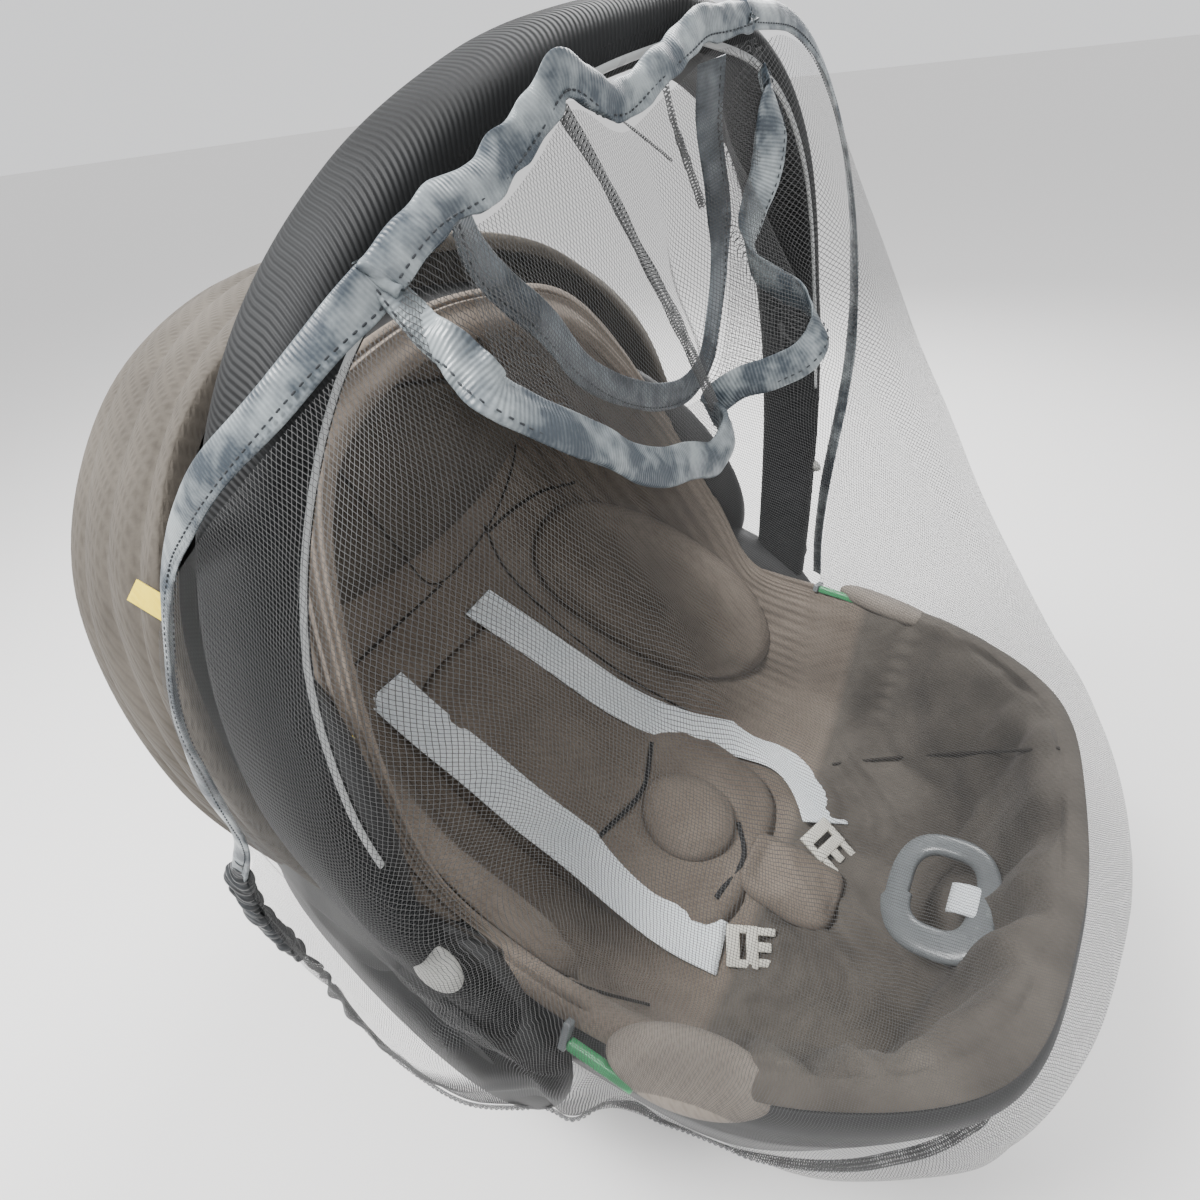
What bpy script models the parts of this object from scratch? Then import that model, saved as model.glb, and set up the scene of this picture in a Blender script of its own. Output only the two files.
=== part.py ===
"""A mosquito net stretched over a plain infant car seat, in metres.

+X points to the foot end, +Y to the far side, +Z up.  The origin is the middle
of the seat's flat underside.  Tables below are in millimetres.
"""
import math

import bpy
import numpy as np
from mathutils import Vector
from mathutils.bvhtree import BVHTree

MM = 0.001
NET_THICK = 1.6          # net cloth, with its weave
TAPE_THICK = 2.4         # folded binding tape
TAPE_WIDTH = 13.0        # the part of the tape that shows on each face
JOIN = 0.3               # gap between seat pieces that meet
SEAM = 1.0               # gap between net and binding, and the net's folds need it
LEAST_NET = 1.5          # net that shows where two bindings come close
HEM_TUCK = 7.0           # how far the gripped hem lies below the hem line
HEM_REACH = 24.0         # the hem grips where the shell is nearer than this
GRIP_GAP = 0.6
CORNER_TUCK = 4.0        # the panel starts lower by this under the flap's corners
SHELL_WALL = 7.0
HANDLE_WIDE = 40.0
GRIP_WIDE = 35.0
HANDLE_THICK = 18.0
STRAP_WIDE = 38.0
STRAP_THICK = 2.6
ROUND = 60               # columns round the seat's shell
PAD_GAP = 0.5            # under a pad that lies on the seat
LENS_GAP = 1.4           # behind the pads on the seat's walls, which are curved
FAR_LENS_GAP = 0.9
IN_SEAT = 235.0          # a height inside the seat, below its rim
ABOVE_RIM = 440.0
CANOPY_THICK = 10.0      # the folded canopy's layers together
CANOPY_STEPS = 13
CANOPY_ROWS = 7

# Each ring of the seat: foot centre, foot corner, front side, middle, pivot,
# wing foot, wing middle, wing top, head centre, as x, half width, height
OUTER_RINGS = {
    "rim": [(249, 0, 262), (219, 116, 268), (160, 158, 262), (60, 180, 246), (0, 181, 252),
            (-34, 184, 300), (-74, 160, 392), (-106, 108, 478), (-120, 0, 504)],
    "lip": [(253, 0, 248), (223, 119, 252), (161, 163, 246), (60, 184, 232), (-4, 186, 242),
            (-56, 192, 290), (-110, 176, 380), (-156, 122, 470), (-172, 0, 506)],
    "flank": [(246, 0, 196), (214, 117, 196), (156, 161, 192), (60, 182, 186), (-20, 185, 205),
              (-95, 188, 250), (-172, 172, 330), (-248, 110, 418), (-272, 0, 450)],
    "belly": [(228, 0, 108), (197, 112, 108), (144, 152, 104), (55, 168, 104), (-35, 172, 114),
              (-120, 172, 140), (-215, 148, 190), (-305, 90, 250), (-334, 0, 288)],
    "keel": [(200, 0, 24), (176, 95, 24), (125, 124, 23), (40, 138, 22), (-40, 142, 22),
             (-120, 138, 24), (-195, 114, 32), (-262, 68, 50), (-285, 0, 62)],
    "base": [(170, 0, 0), (150, 80, 0), (105, 107, 0), (30, 120, 0), (-40, 122, 0),
             (-110, 116, 0), (-170, 94, 0), (-214, 54, 0), (-228, 0, 0)],
}
INNER_RINGS = {
    "edge": [(229, 0, 256), (203, 101, 260), (147, 142, 256), (62, 163, 242), (8, 166, 248),
             (-26, 168, 296), (-66, 142, 384), (-98, 91, 462), (-110, 0, 486)],
    "wall": [(223, 0, 198), (195, 95, 205), (140, 136, 205), (62, 151, 200), (0, 156, 205),
             (-60, 160, 240), (-120, 145, 320), (-160, 100, 418), (-172, 0, 466)],
    "turn": [(204, 0, 150), (178, 88, 150), (130, 131, 158), (60, 139, 152), (-10, 145, 160),
             (-90, 149, 195), (-165, 137, 270), (-215, 100, 358), (-228, 0, 412)],
    "floor": [(165, 0, 122), (145, 70, 122), (105, 95, 118), (50, 105, 114), (-20, 110, 128),
              (-95, 112, 158), (-165, 100, 205), (-214, 60, 250), (-226, 0, 290)],
    "middle": [(110, 0, 112), (100, 30, 112), (75, 45, 112), (40, 52, 114), (0, 54, 122),
               (-50, 52, 134), (-105, 46, 155), (-150, 30, 185), (-176, 0, 205)],
}
BASE_MIDDLE = (-36.0, 0.0, 0.0)
FLOOR_MIDDLE = (-20.0, 0.0, 124.0)

# Arcs of the canopy, pushed back and folded: from its hinge to the middle, front to back
CANOPY_ARCS = [
    [(-66, 197, 292), (-90, 203, 350), (-112, 180, 440), (-128, 120, 500), (-138, 50, 522), (-140, 0, 526)],
    [(-92, 196, 262), (-133, 208, 345), (-175, 184, 430), (-205, 122, 490), (-222, 50, 514), (-226, 0, 518)],
    [(-120, 195, 232), (-175, 204, 300), (-232, 178, 372), (-282, 114, 428), (-305, 50, 450), (-310, 0, 456)],
]

# Handle: centre line of one arm, from the pivot to the middle of the grip
HANDLE_ROWS = [(22, 194.6, 236), (21, 196.6, 285), (18, 202, 330), (14, 205, 385), (9, 203, 435),
               (6, 192, 475), (6, 175, 508), (7, 152, 537), (9, 115, 565), (12, 68, 584),
               (15, 0, 595)]
CAP = {"x": 21.0, "z": 258.0, "radius": 18.0, "inner": 205.6, "outer": 211.0}

# Binding along the net's back edge, near rim to far rim: x, y, z
EDGE_ROWS = [(-95, -226, 240), (-101, -227, 268), (-96, -223, 312), (-66, -215, 366),
             (-53, -213, 410), (-44, -206, 447), (-34, -196, 477), (-22, -189, 503),
             (4, -184, 527), (24, -171, 545), (37, -152, 560), (38, -131, 569), (38, -117, 572),
             (37, -98, 580), (38, -84, 588), (40, -68, 582), (38, -42, 587), (38, -24, 592),
             (38, -10, 596), (38, 8, 597), (38, 28, 598), (38, 63, 596), (38, 92, 588),
             (38, 133, 566), (38, 166, 541), (40, 191, 508), (42, 212, 466), (44, 221, 417),
             (42, 224, 372), (40, 223, 322), (42, 221, 268), (46, 219, 236)]
# Bound top edge of the front panel between the two gathered points
DIP_ROWS = [(31, -118, 562), (31, -104, 550), (31, -94, 540), (31, -76, 520), (31, -50, 501),
            (32, -28, 491), (33, -6, 488), (33, 9, 494), (32, 18, 510), (31, 21, 532),
            (31, 16, 552), (31, 9, 570), (31, 5, 582)]
# Where the panel would hang without its bound dip, between the same points
SLACK_ROWS = [(31, -118, 556), (36, -98, 532), (42, -74, 508), (46, -48, 495), (46, -26, 493),
              (46, -8, 503), (43, 6, 523), (40, 16, 548), (37, 22, 574)]
# Free edge of the upper flap, with the fold that stands out near its far end
FLAP_ROWS = [(51, -150, 543), (55, -151, 541), (59, -151, 538), (64, -151, 534), (68, -145, 527),
             (71, -128, 515), (72, -109, 500), (72, -92, 491), (72, -76, 484), (71, -58, 478),
             (70, -46, 481), (61, -40, 485), (68, -36, 492), (79, -30, 497), (88, -24, 502),
             (90, -18, 507), (84, -12, 513), (71, -7, 518), (59, -2, 522), (54, 3, 529),
             (54, 8, 538), (56, 12, 546), (56, 16, 559), (53, 19, 568), (49, 20, 575)]
# Hem line under the rim, near side to foot end, mirrored for the far side's shorter hem
HEM_ROWS = [(-78, -226, 214), (-60, -229, 212), (-36, -231, 210), (-8, -230, 208),
            (20, -225, 205), (42, -213, 204), (66, -198, 204), (98, -186, 205),
            (132, -176, 208), (163, -170, 212), (200, -150, 216), (227, -129, 218),
            (246, -90, 216), (257, -44, 214), (261, 0, 213)]

SAG = 26.0               # how far the net's middle hangs below a straight pull
ARM_CLEAR = 2.6          # from an arm's face to the middle of the net
ARM_EASE = 36.0          # how soon the net falls back beside an arm
PANEL_ROWS = 15
FLAP_GRID_ROWS = 9
NEAR_COLS = 22           # columns of the panel on the near binding
DIP_COLS = 16            # columns along the bound dip
FAR_COLS = 16            # columns on the far binding
FLAP_COLS = 40
NEAR_END = 10            # row of EDGE_ROWS where the flap begins
FAR_START = 20           # row of EDGE_ROWS where the flap ends
COLUMN_MARKS = (0, 12, 21, 37, 53)
HEM_MARKS = (0.0, 0.196, 0.415, 0.70, 1.0)
FAR_HEM = 5              # row of HEM_ROWS where the far side's hem ends
RIM_X = (-90, -60, -20, 20, 50, 80, 130, 180, 230, 262)
RIM_Z = (262, 278, 288, 290, 278, 266, 275, 280, 284, 280)
RIM_IN = (1, 1, 1, 1, 2, 3, 4, 4, 4, 4)


def arc_steps(points):
    """Distance along a line of points, from 0 to 1."""
    step = np.linalg.norm(np.diff(points, axis=0), axis=1)
    run = np.concatenate([[0.0], np.cumsum(step)])
    return run / run[-1]


def smooth_line(rows, count):
    """A smooth curve through the rows, as evenly spaced points."""
    pts = np.array(rows, float)
    at = arc_steps(pts)
    slope = np.gradient(pts, at, axis=0)
    want = np.linspace(0.0, 1.0, count * 8)
    seg = np.clip(np.searchsorted(at, want, side="right") - 1, 0, len(at) - 2)
    width = (at[seg + 1] - at[seg])[:, None]
    t = ((want - at[seg]) / width[:, 0])[:, None]
    near = (2 * t ** 3 - 3 * t ** 2 + 1) * pts[seg] + (t ** 3 - 2 * t ** 2 + t) * width * slope[seg]
    far = (3 * t ** 2 - 2 * t ** 3) * pts[seg + 1] + (t ** 3 - t ** 2) * width * slope[seg + 1]
    dense = near + far
    run = arc_steps(dense)
    even = np.linspace(0.0, 1.0, count)
    return np.stack([np.interp(even, run, dense[:, k]) for k in range(3)], axis=1)


def unit(vectors):
    size = np.linalg.norm(vectors, axis=-1, keepdims=True)
    return vectors / np.maximum(size, 1e-9)


def material(name, colour, rough, metal=0.0):
    mat = bpy.data.materials.new(name)
    mat.use_nodes = True
    shader = mat.node_tree.nodes["Principled BSDF"]
    shader.inputs["Base Color"].default_value = (*colour, 1.0)
    shader.inputs["Roughness"].default_value = rough
    shader.inputs["Metallic"].default_value = metal
    return mat


def add_piece(name, points, faces, mat, smooth=True):
    mesh = bpy.data.meshes.new(name)
    mesh.from_pydata([tuple(p) for p in np.asarray(points) * MM], [], faces)
    mesh.materials.append(mat)
    mesh.validate()
    if smooth:
        mesh.shade_smooth()
    piece = bpy.data.objects.new(name, mesh)
    bpy.context.scene.collection.objects.link(piece)
    return piece


def grid_normals(grid):
    """Unit normals of a grid of points, rows down and columns across."""
    down = np.gradient(grid, axis=0)
    across = np.gradient(grid, axis=1)
    return unit(np.cross(down, across))


def sheet(name, grid, thick, mat):
    """A cloth sheet of even thickness on a grid of points."""
    rows, cols = grid.shape[:2]
    lift = grid_normals(grid) * thick / 2
    points = np.concatenate([(grid + lift).reshape(-1, 3), (grid - lift).reshape(-1, 3)])
    half = rows * cols
    faces = []
    for r in range(rows - 1):
        for c in range(cols - 1):
            a = r * cols + c
            quad = (a, a + cols, a + cols + 1, a + 1)
            faces.append(quad)
            faces.append(tuple(half + q for q in reversed(quad)))
    border = [c for c in range(cols)]
    border += [r * cols + cols - 1 for r in range(1, rows)]
    border += [(rows - 1) * cols + c for c in range(cols - 2, -1, -1)]
    border += [r * cols for r in range(rows - 2, 0, -1)]
    for a, b in zip(border, border[1:] + border[:1]):
        faces.append((a, b, half + b, half + a))
    return add_piece(name, points, faces, mat)


def ring_line(rows, count):
    """A closed ring round the seat from one half's rows, mirrored in Y."""
    half = smooth_line(rows, count // 2 + 1)
    other = half[-2:0:-1] * np.array([1.0, -1.0, 1.0])
    return np.concatenate([half, other])


def bowl(name, rings, bottom, top, mat, flip=99):
    """A closed solid through rings of equal count, each end closed by a fan.

    The quads' diagonals turn the other way from the ring numbered flip on, so
    that two walls that face each other are split alike.
    """
    count = len(rings[0])
    points = np.concatenate([*rings, [bottom], [top]])
    first, last = len(points) - 2, len(points) - 1
    faces = []
    for k in range(len(rings) - 1):
        for c in range(count):
            a, b = k * count + c, k * count + (c + 1) % count
            if k < flip:
                faces += [(a, b, b + count), (a, b + count, a + count)]
            else:
                faces += [(a, b, a + count), (b, b + count, a + count)]
    end = (len(rings) - 1) * count
    for c in range(count):
        faces.append((first, (c + 1) % count, c))
        faces.append((last, end + c, end + (c + 1) % count))
    return add_piece(name, points, faces, mat)


def ring_normals(rings):
    """Outward normals on a stack of closed rings that runs from base to rim."""
    stack = np.array(rings)
    round_way = np.roll(stack, -1, axis=1) - np.roll(stack, 1, axis=1)
    up_way = np.gradient(stack, axis=0)
    return unit(np.cross(round_way, up_way))


def swept(name, line, side, out, half_wide, half_thick, mat, corners=8):
    """A bar with a rounded flat section along a line, its half width a list."""
    turn = np.arange(corners) * 2 * math.pi / corners + math.pi / corners
    wide = np.sign(np.cos(turn)) * np.abs(np.cos(turn)) ** 0.75
    deep = np.sign(np.sin(turn)) * np.abs(np.sin(turn)) ** 0.75
    points = line[:, None] + side[:, None] * (half_wide[:, None] * wide)[..., None]
    points = points + out[:, None] * (deep * half_thick)[None, :, None]
    count = len(line)
    faces = []
    for k in range(count - 1):
        for c in range(corners):
            a, b = k * corners + c, k * corners + (c + 1) % corners
            faces.append((a, b, b + corners, a + corners))
    faces.append(tuple(reversed(range(corners))))
    faces.append(tuple((count - 1) * corners + c for c in range(corners)))
    return add_piece(name, points.reshape(-1, 3), faces, mat)


def strap(name, rows, side, mat, wide=STRAP_WIDE, thick=STRAP_THICK, count=20):
    """A flat strap whose width runs along the side direction."""
    line = smooth_line(rows, count)
    across = np.array(side, float) * wide / 2
    return sheet(name, np.stack([line - across, line + across], axis=1), thick, mat)


def surface_tree(piece):
    verts = [v.co.copy() for v in piece.data.vertices]
    return BVHTree.FromPolygons(verts, [tuple(p.vertices) for p in piece.data.polygons])


def rest_height(tree, x, y, reach, top):
    """Highest point of a surface near a place, seen from the height top."""
    best = -1.0
    for dx, dy in ((0, 0), (reach, 0), (-reach, 0), (0, reach), (0, -reach)):
        hit = tree.ray_cast(Vector(((x + dx) * MM, (y + dy) * MM, top * MM)), Vector((0, 0, -1)))
        if hit[0] is not None:
            best = max(best, hit[0].z / MM)
    return best


def lens_pad(name, grid, thick, gap, mat):
    """A pad on a patch of the seat, thick in its middle and thin at its rim."""
    rows, cols = grid.shape[:2]
    v = np.linspace(-1, 1, rows)[:, None]
    u = np.linspace(-1, 1, cols)[None, :]
    body = (1 - v ** 4) ** 0.5 * (1 - u ** 4) ** 0.5
    out = grid_normals(grid)
    low = grid + out * gap
    high = grid + out * (gap + 1.5 + thick * body)[..., None]
    points = np.concatenate([high.reshape(-1, 3), low.reshape(-1, 3)])
    half = rows * cols
    faces = []
    for r in range(rows - 1):
        for c in range(cols - 1):
            a = r * cols + c
            quad = (a, a + cols, a + cols + 1, a + 1)
            faces.append(quad)
            faces.append(tuple(half + q for q in reversed(quad)))
    border = [c for c in range(cols)]
    border += [r * cols + cols - 1 for r in range(1, rows)]
    border += [(rows - 1) * cols + c for c in range(cols - 2, -1, -1)]
    border += [r * cols for r in range(rows - 2, 0, -1)]
    for a, b in zip(border, border[1:] + border[:1]):
        faces.append((a, b, half + b, half + a))
    return add_piece(name, points, faces, mat)


def build_seat(mats):
    outer = [ring_line(rows, ROUND) for rows in OUTER_RINGS.values()][::-1]
    out = ring_normals(outer)
    out[0] = (0, 0, -1)
    inner = [ring - n * SHELL_WALL for ring, n in zip(outer, out)]
    inner[0][:, 2] = SHELL_WALL
    shell_rings = outer + inner[::-1]
    floor = (BASE_MIDDLE[0], 0.0, SHELL_WALL)
    shell = bowl("seat_shell", shell_rings, BASE_MIDDLE, floor, mats["shell"], flip=len(outer))
    pad_out = [ring - n * (SHELL_WALL + JOIN) for ring, n in zip(outer, out)]
    pad_out[0][:, 2] = SHELL_WALL + JOIN
    cavity = [ring_line(rows, ROUND) for rows in INNER_RINGS.values()]
    crown = (pad_out[-1] + cavity[0]) / 2
    crown = crown + np.array([0.0, 0.0, 6.0])
    start = (BASE_MIDDLE[0], 0.0, SHELL_WALL + JOIN)
    pad = bowl("seat_pad", pad_out + [crown] + cavity, start, FLOOR_MIDDLE, mats["cover"])
    return shell, pad


def patch(cavity, rings, columns, rows, cols):
    """A grid on the seat's inner faces between ring and column numbers."""
    stack = np.array(cavity)
    r = np.linspace(*rings, rows)
    c = np.linspace(*columns, cols)
    low = np.clip(r.astype(int), 0, len(stack) - 2)
    left = np.floor(c).astype(int)
    fr = (r - low)[:, None, None]
    fc = (c - left)[None, :, None]
    left, right = left % ROUND, (left + 1) % ROUND
    top = stack[low][:, left] * (1 - fc) + stack[low][:, right] * fc
    bottom = stack[low + 1][:, left] * (1 - fc) + stack[low + 1][:, right] * fc
    return (top * (1 - fr) + bottom * fr)[:, ::-1]


def lying_pad(name, trees, box, thick, mat, power=4.0, rings=5, spokes=20, reach=5.0,
              gap=PAD_GAP, top=IN_SEAT):
    """A round-cornered pad that lies on what is under it, seen from above."""
    x0, x1, y0, y1 = box
    turn = np.arange(spokes) * 2 * math.pi / spokes
    shape = (np.abs(np.cos(turn)) ** power + np.abs(np.sin(turn)) ** power) ** (-1 / power)
    low, high = [], []
    for k in range(rings, -1, -1):
        part = k / rings
        ring_low, ring_high = [], []
        for angle, stretch in zip(turn, shape):
            x = (x0 + x1) / 2 + (x1 - x0) / 2 * part * stretch * math.cos(angle)
            y = (y0 + y1) / 2 + (y1 - y0) / 2 * part * stretch * math.sin(angle)
            z = max(rest_height(tree, x, y, reach, top) for tree in trees) + gap
            ring_low.append((x, y, z))
            ring_high.append((x, y, z + 2.0 + (thick - 2.0) * (1 - part ** 4) ** 0.5))
        low.append(np.array(ring_low))
        high.append(np.array(ring_high))
    middle_low, middle_high = low.pop()[0], high.pop()[0]
    return bowl(name, low[::-1] + high, middle_low, middle_high, mat)


def block(name, middle, size, tilt, mat):
    """A small plain block with softened edges, tilted about Y."""
    mesh = bpy.data.meshes.new(name)
    half = np.array(size) / 2 * MM
    corners = [(sx * half[0], sy * half[1], sz * half[2])
               for sx in (-1, 1) for sy in (-1, 1) for sz in (-1, 1)]
    faces = [(0, 1, 3, 2), (4, 6, 7, 5), (0, 4, 5, 1), (2, 3, 7, 6), (0, 2, 6, 4), (1, 5, 7, 3)]
    mesh.from_pydata(corners, [], faces)
    mesh.materials.append(mat)
    piece = bpy.data.objects.new(name, mesh)
    piece.location = np.array(middle) * MM
    piece.rotation_euler = (0.0, math.radians(tilt), 0.0)
    bevel = piece.modifiers.new("soft edges", "BEVEL")
    bevel.width = 1.2 * MM
    bevel.segments = 1
    bpy.context.scene.collection.objects.link(piece)
    return piece


def disc(name, side, mat):
    """A round cap on the outside of an arm."""
    mesh = bpy.data.meshes.new(name)
    count = 20
    turn = np.arange(count) * 2 * math.pi / count
    points = []
    for y in (CAP["inner"], CAP["outer"]):
        for t in turn:
            points.append((CAP["x"] + CAP["radius"] * math.cos(t), side * y,
                           CAP["z"] + CAP["radius"] * math.sin(t)))
    inner = tuple(range(count))
    outer = tuple(range(count, 2 * count))
    faces = [inner, outer[::-1]]
    for k in range(count):
        n = (k + 1) % count
        faces.append((k, k + count, n + count, n))
    if side < 0:
        faces = [f[::-1] for f in faces]
    return add_piece(name, points, faces, mat, smooth=False)


def build_padding(seat, mats):
    cavity = [ring_line(rows, ROUND) for rows in INNER_RINGS.values()]
    middle = ROUND / 2
    grid = patch(cavity, (1.15, 2.4), (middle - 9, middle + 9), 9, 19)
    lens_pad("headrest_pad", grid, 26.0, LENS_GAP, mats["cover"])
    for side, name in ((1, "far"), (-1, "near")):
        span = (13, 20) if side > 0 else (ROUND - 20, ROUND - 13)
        grid = patch(cavity, (1.1, 2.6), span, 8, 8)
        gap = FAR_LENS_GAP if side > 0 else LENS_GAP
        lens_pad("side_pad_" + name, grid, 15.0, gap, mats["cover"])
    tree = surface_tree(seat)
    inlay = lying_pad("seat_inlay", [tree], (-172, 92, -86, 86), 20.0, mats["cover"], 5.0, 7, 28)
    trees = [tree, surface_tree(inlay)]
    lying_pad("buckle_pad", trees, (4, 76, -34, 34), 11.0, mats["cover"], 2.0)
    lying_pad("crotch_pad", trees, (80, 150, -27, 27), 13.0, mats["cover"], 5.0)
    lying_pad("adjuster_plate", [tree], (188, 222, -32, 32), 7.0, mats["plate"], 2.6)
    for side, name in ((1, "far"), (-1, "near")):
        rows = []
        for x in range(-158, 86, 12):
            under = [rest_height(t, x, side * y, 6.0, IN_SEAT) for t in trees for y in (39, 58, 77)]
            rows.append((x, side * 58, max(under) + STRAP_THICK / 2))
        strap("shoulder_strap_" + name, rows, (0, 1, 0), mats["strap"])
        end = rows[-1]
        block("strap_tongue_" + name, (end[0] + 17.3, end[1], end[2] + 2.6), (34, 40, 6), 6.0,
              mats["tongue"])
        place = sorted((side * 139, side * 157))
        lying_pad("rim_pad_" + name, [tree], (86, 150, *place), 10.0, mats["cover"], 3.0, 4, 16, 10.0,
                  3 * PAD_GAP, ABOVE_RIM)
        crown = max(rest_height(tree, x, side * y, 2.0, ABOVE_RIM) for x in range(46, 84, 3)
                    for y in range(160, 178, 2))
        block("belt_guide_" + name, (64, side * 168, crown + 3.8), (36, 16, 6), 0.0, mats["guide"])


def build_canopy(mats):
    lines = [smooth_line(rows, CANOPY_STEPS) for rows in CANOPY_ARCS]
    half = np.array(lines)
    across = np.linspace(0, len(half) - 1, CANOPY_ROWS)
    low = np.clip(across.astype(int), 0, len(half) - 2)
    part = (across - low)[:, None, None]
    band = half[low] * (1 - part) + half[low + 1] * part
    other = band[:, -2::-1] * np.array([1.0, -1.0, 1.0])
    sheet("canopy_fold", np.concatenate([band, other], axis=1), CANOPY_THICK, mats["cover"])


def build_handle(mats):
    half = smooth_line(HANDLE_ROWS, 17)
    far = half[-2::-1]
    near = half * np.array([1.0, -1.0, 1.0])
    line = np.concatenate([near, far])
    along = unit(np.gradient(line, axis=0))
    side = np.tile(np.array([1.0, 0.0, 0.0]), (len(line), 1))
    side = unit(side - along * np.sum(side * along, axis=1, keepdims=True))
    out = np.cross(along, side)
    grip = np.clip((line[:, 2] - 440.0) / 120.0, 0.0, 1.0)
    half_wide = (HANDLE_WIDE * (1 - grip) + GRIP_WIDE * grip) / 2
    swept("handle", line, side, out, half_wide, HANDLE_THICK / 2, mats["handle"])
    disc("handle_cap_near", -1, mats["cap"])
    disc("handle_cap_far", 1, mats["cap"])


def spread(rows, marks, count):
    """Points of a line at the given shares of its rows, one for each column."""
    line = smooth_line(rows, 400)
    share = np.interp(np.arange(count), *marks)
    return np.stack([np.interp(share, np.linspace(0, 1, 400), line[:, k]) for k in range(3)], axis=1)


def panel_frame():
    """Upper boundary, slack line and hem line of the front panel, by column."""
    near = smooth_line(EDGE_ROWS[:NEAR_END + 1], NEAR_COLS)
    dip = smooth_line(DIP_ROWS, DIP_COLS)
    slack = smooth_line(SLACK_ROWS, DIP_COLS)
    far = smooth_line(EDGE_ROWS[FAR_START:], FAR_COLS)
    top = np.concatenate([near, dip, far])
    base = np.concatenate([near, slack, far])
    half = np.array(HEM_ROWS, float)
    hem_rows = np.concatenate([half, half[-2:FAR_HEM:-1] * np.array([1.0, -1.0, 1.0])])
    hem = spread(hem_rows, (COLUMN_MARKS, HEM_MARKS), len(top))
    return top, base, hem


def rim_above(hem, top):
    """The line where the net turns over the rim, above each hem point."""
    x = hem[:, 0]
    inward = np.interp(x, RIM_X, RIM_IN)
    toward = unit(np.stack([-x * 0.6, -hem[:, 1], 0 * x], axis=1))
    line = hem + toward * inward[:, None]
    below_top = hem[:, 2] + (top[:, 2] - hem[:, 2]) * 0.62
    line[:, 2] = np.minimum(np.interp(x, RIM_X, RIM_Z), below_top)
    return line


def over_arm(points):
    """Push net points out of the handle's arms, easing off to both sides."""
    arm = smooth_line(HANDLE_ROWS, 60)
    arm = np.concatenate([arm * np.array([1.0, -1.0, 1.0]), arm[::-1]])
    along = unit(np.gradient(arm, axis=0))
    out = unit(np.cross(along, np.array([1.0, 0.0, 0.0])) * -1.0)
    flat = points.reshape(-1, 3)
    gap = flat[:, None, 1:] - arm[None, :, 1:]
    near = np.argmin(np.sum(gap ** 2, axis=2), axis=1)
    away = np.sum((flat - arm[near]) * out[near], axis=1)
    beside = np.abs(flat[:, 0] - arm[near, 0]) - HANDLE_WIDE / 2
    want = HANDLE_THICK / 2 + ARM_CLEAR
    ease = 1.0 - np.clip((beside - 4.0) / ARM_EASE, 0.0, 1.0)
    ease = ease * ease * (3 - 2 * ease)
    ease = ease * (np.abs(away) < 60.0)
    ease = ease * np.clip((-flat[:, 1] - 95.0) / 20.0, 0.0, 1.0)
    push = np.clip(want - away, 0.0, 40.0) * ease
    return (flat + out[near] * push[:, None]).reshape(points.shape)


def gripped(hem, shell):
    """The hem's elastic, drawn in to the seat's shell where the shell is near."""
    line = hem + np.array([0.0, 0.0, -HEM_TUCK])
    for k, point in enumerate(line):
        spot, normal, _, _ = shell.find_nearest(Vector(point * MM))
        gap = np.interp(point[0], (200, 250), (GRIP_GAP * 4, GRIP_GAP))
        target = np.array(spot + normal * (NET_THICK / 2 + gap) * MM) / MM
        near = np.clip((HEM_REACH - np.linalg.norm(target - point)) / 10.0, 0.0, 1.0)
        line[k] = point + (target - point) * near
    return line


def panel_point_rows(top, base, hem, shell):
    """Rows of the net from its upper boundary over the rim to its hem."""
    rim = rim_above(hem, top)
    pull = np.sin(np.linspace(0, math.pi, len(top))) ** 1.5
    rows = []
    for v in np.linspace(0.0, 1.0, PANEL_ROWS - 3) ** 1.25:
        row = base * (1 - v) + rim * v + (top - base) * (1 - v) ** 6
        row[:, 2] -= SAG * 4 * v * (1 - v) * pull
        rows.append(row)
    outward = unit((hem - rim) * np.array([1.0, 1.0, 0.0]))
    rows.append(rim * 0.72 + hem * 0.28 + outward * 2.6)
    rows.append(rim * 0.35 + hem * 0.65 + outward * 1.6)
    rows.append(hem)
    rows.append(gripped(hem, shell))
    rows = np.array(rows)
    rows[1:, :NEAR_COLS] = over_arm(rows[1:, :NEAR_COLS])
    for _ in range(3):
        rows[1:5] = rows[1:5] * 0.5 + (rows[0:4] + rows[2:6]) * 0.25
        rows[1:, :NEAR_COLS] = over_arm(rows[1:, :NEAR_COLS])
    return rows


def along_columns(rows, lengths):
    """Points at the given lengths down each column of a grid."""
    step = np.linalg.norm(np.diff(rows, axis=0), axis=2)
    run = np.concatenate([np.zeros((1, rows.shape[1])), np.cumsum(step, axis=0)])
    found = np.empty((len(lengths), rows.shape[1], 3))
    for c in range(rows.shape[1]):
        for k in range(3):
            found[:, c, k] = np.interp(lengths[:, c], run[:, c], rows[:, c, k])
    return found


def split_strip(rows, width, tuck, power=1.2):
    """A binding strip along a grid's first row, and the grid that is left.

    The grid starts lower by tuck where the flap's binding runs over it.
    """
    total = np.sum(np.linalg.norm(np.diff(rows, axis=0), axis=2), axis=0)
    part = np.minimum(width, (total - LEAST_NET - 2 * SEAM) / 2)
    strip = along_columns(rows, part * np.array([[0.0], [0.5], [1.0]]))
    begin = part + SEAM + tuck
    share = np.linspace(0.0, 1.0, len(rows))[:, None] ** power
    return strip, along_columns(rows, begin + (total - begin) * share)


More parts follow.
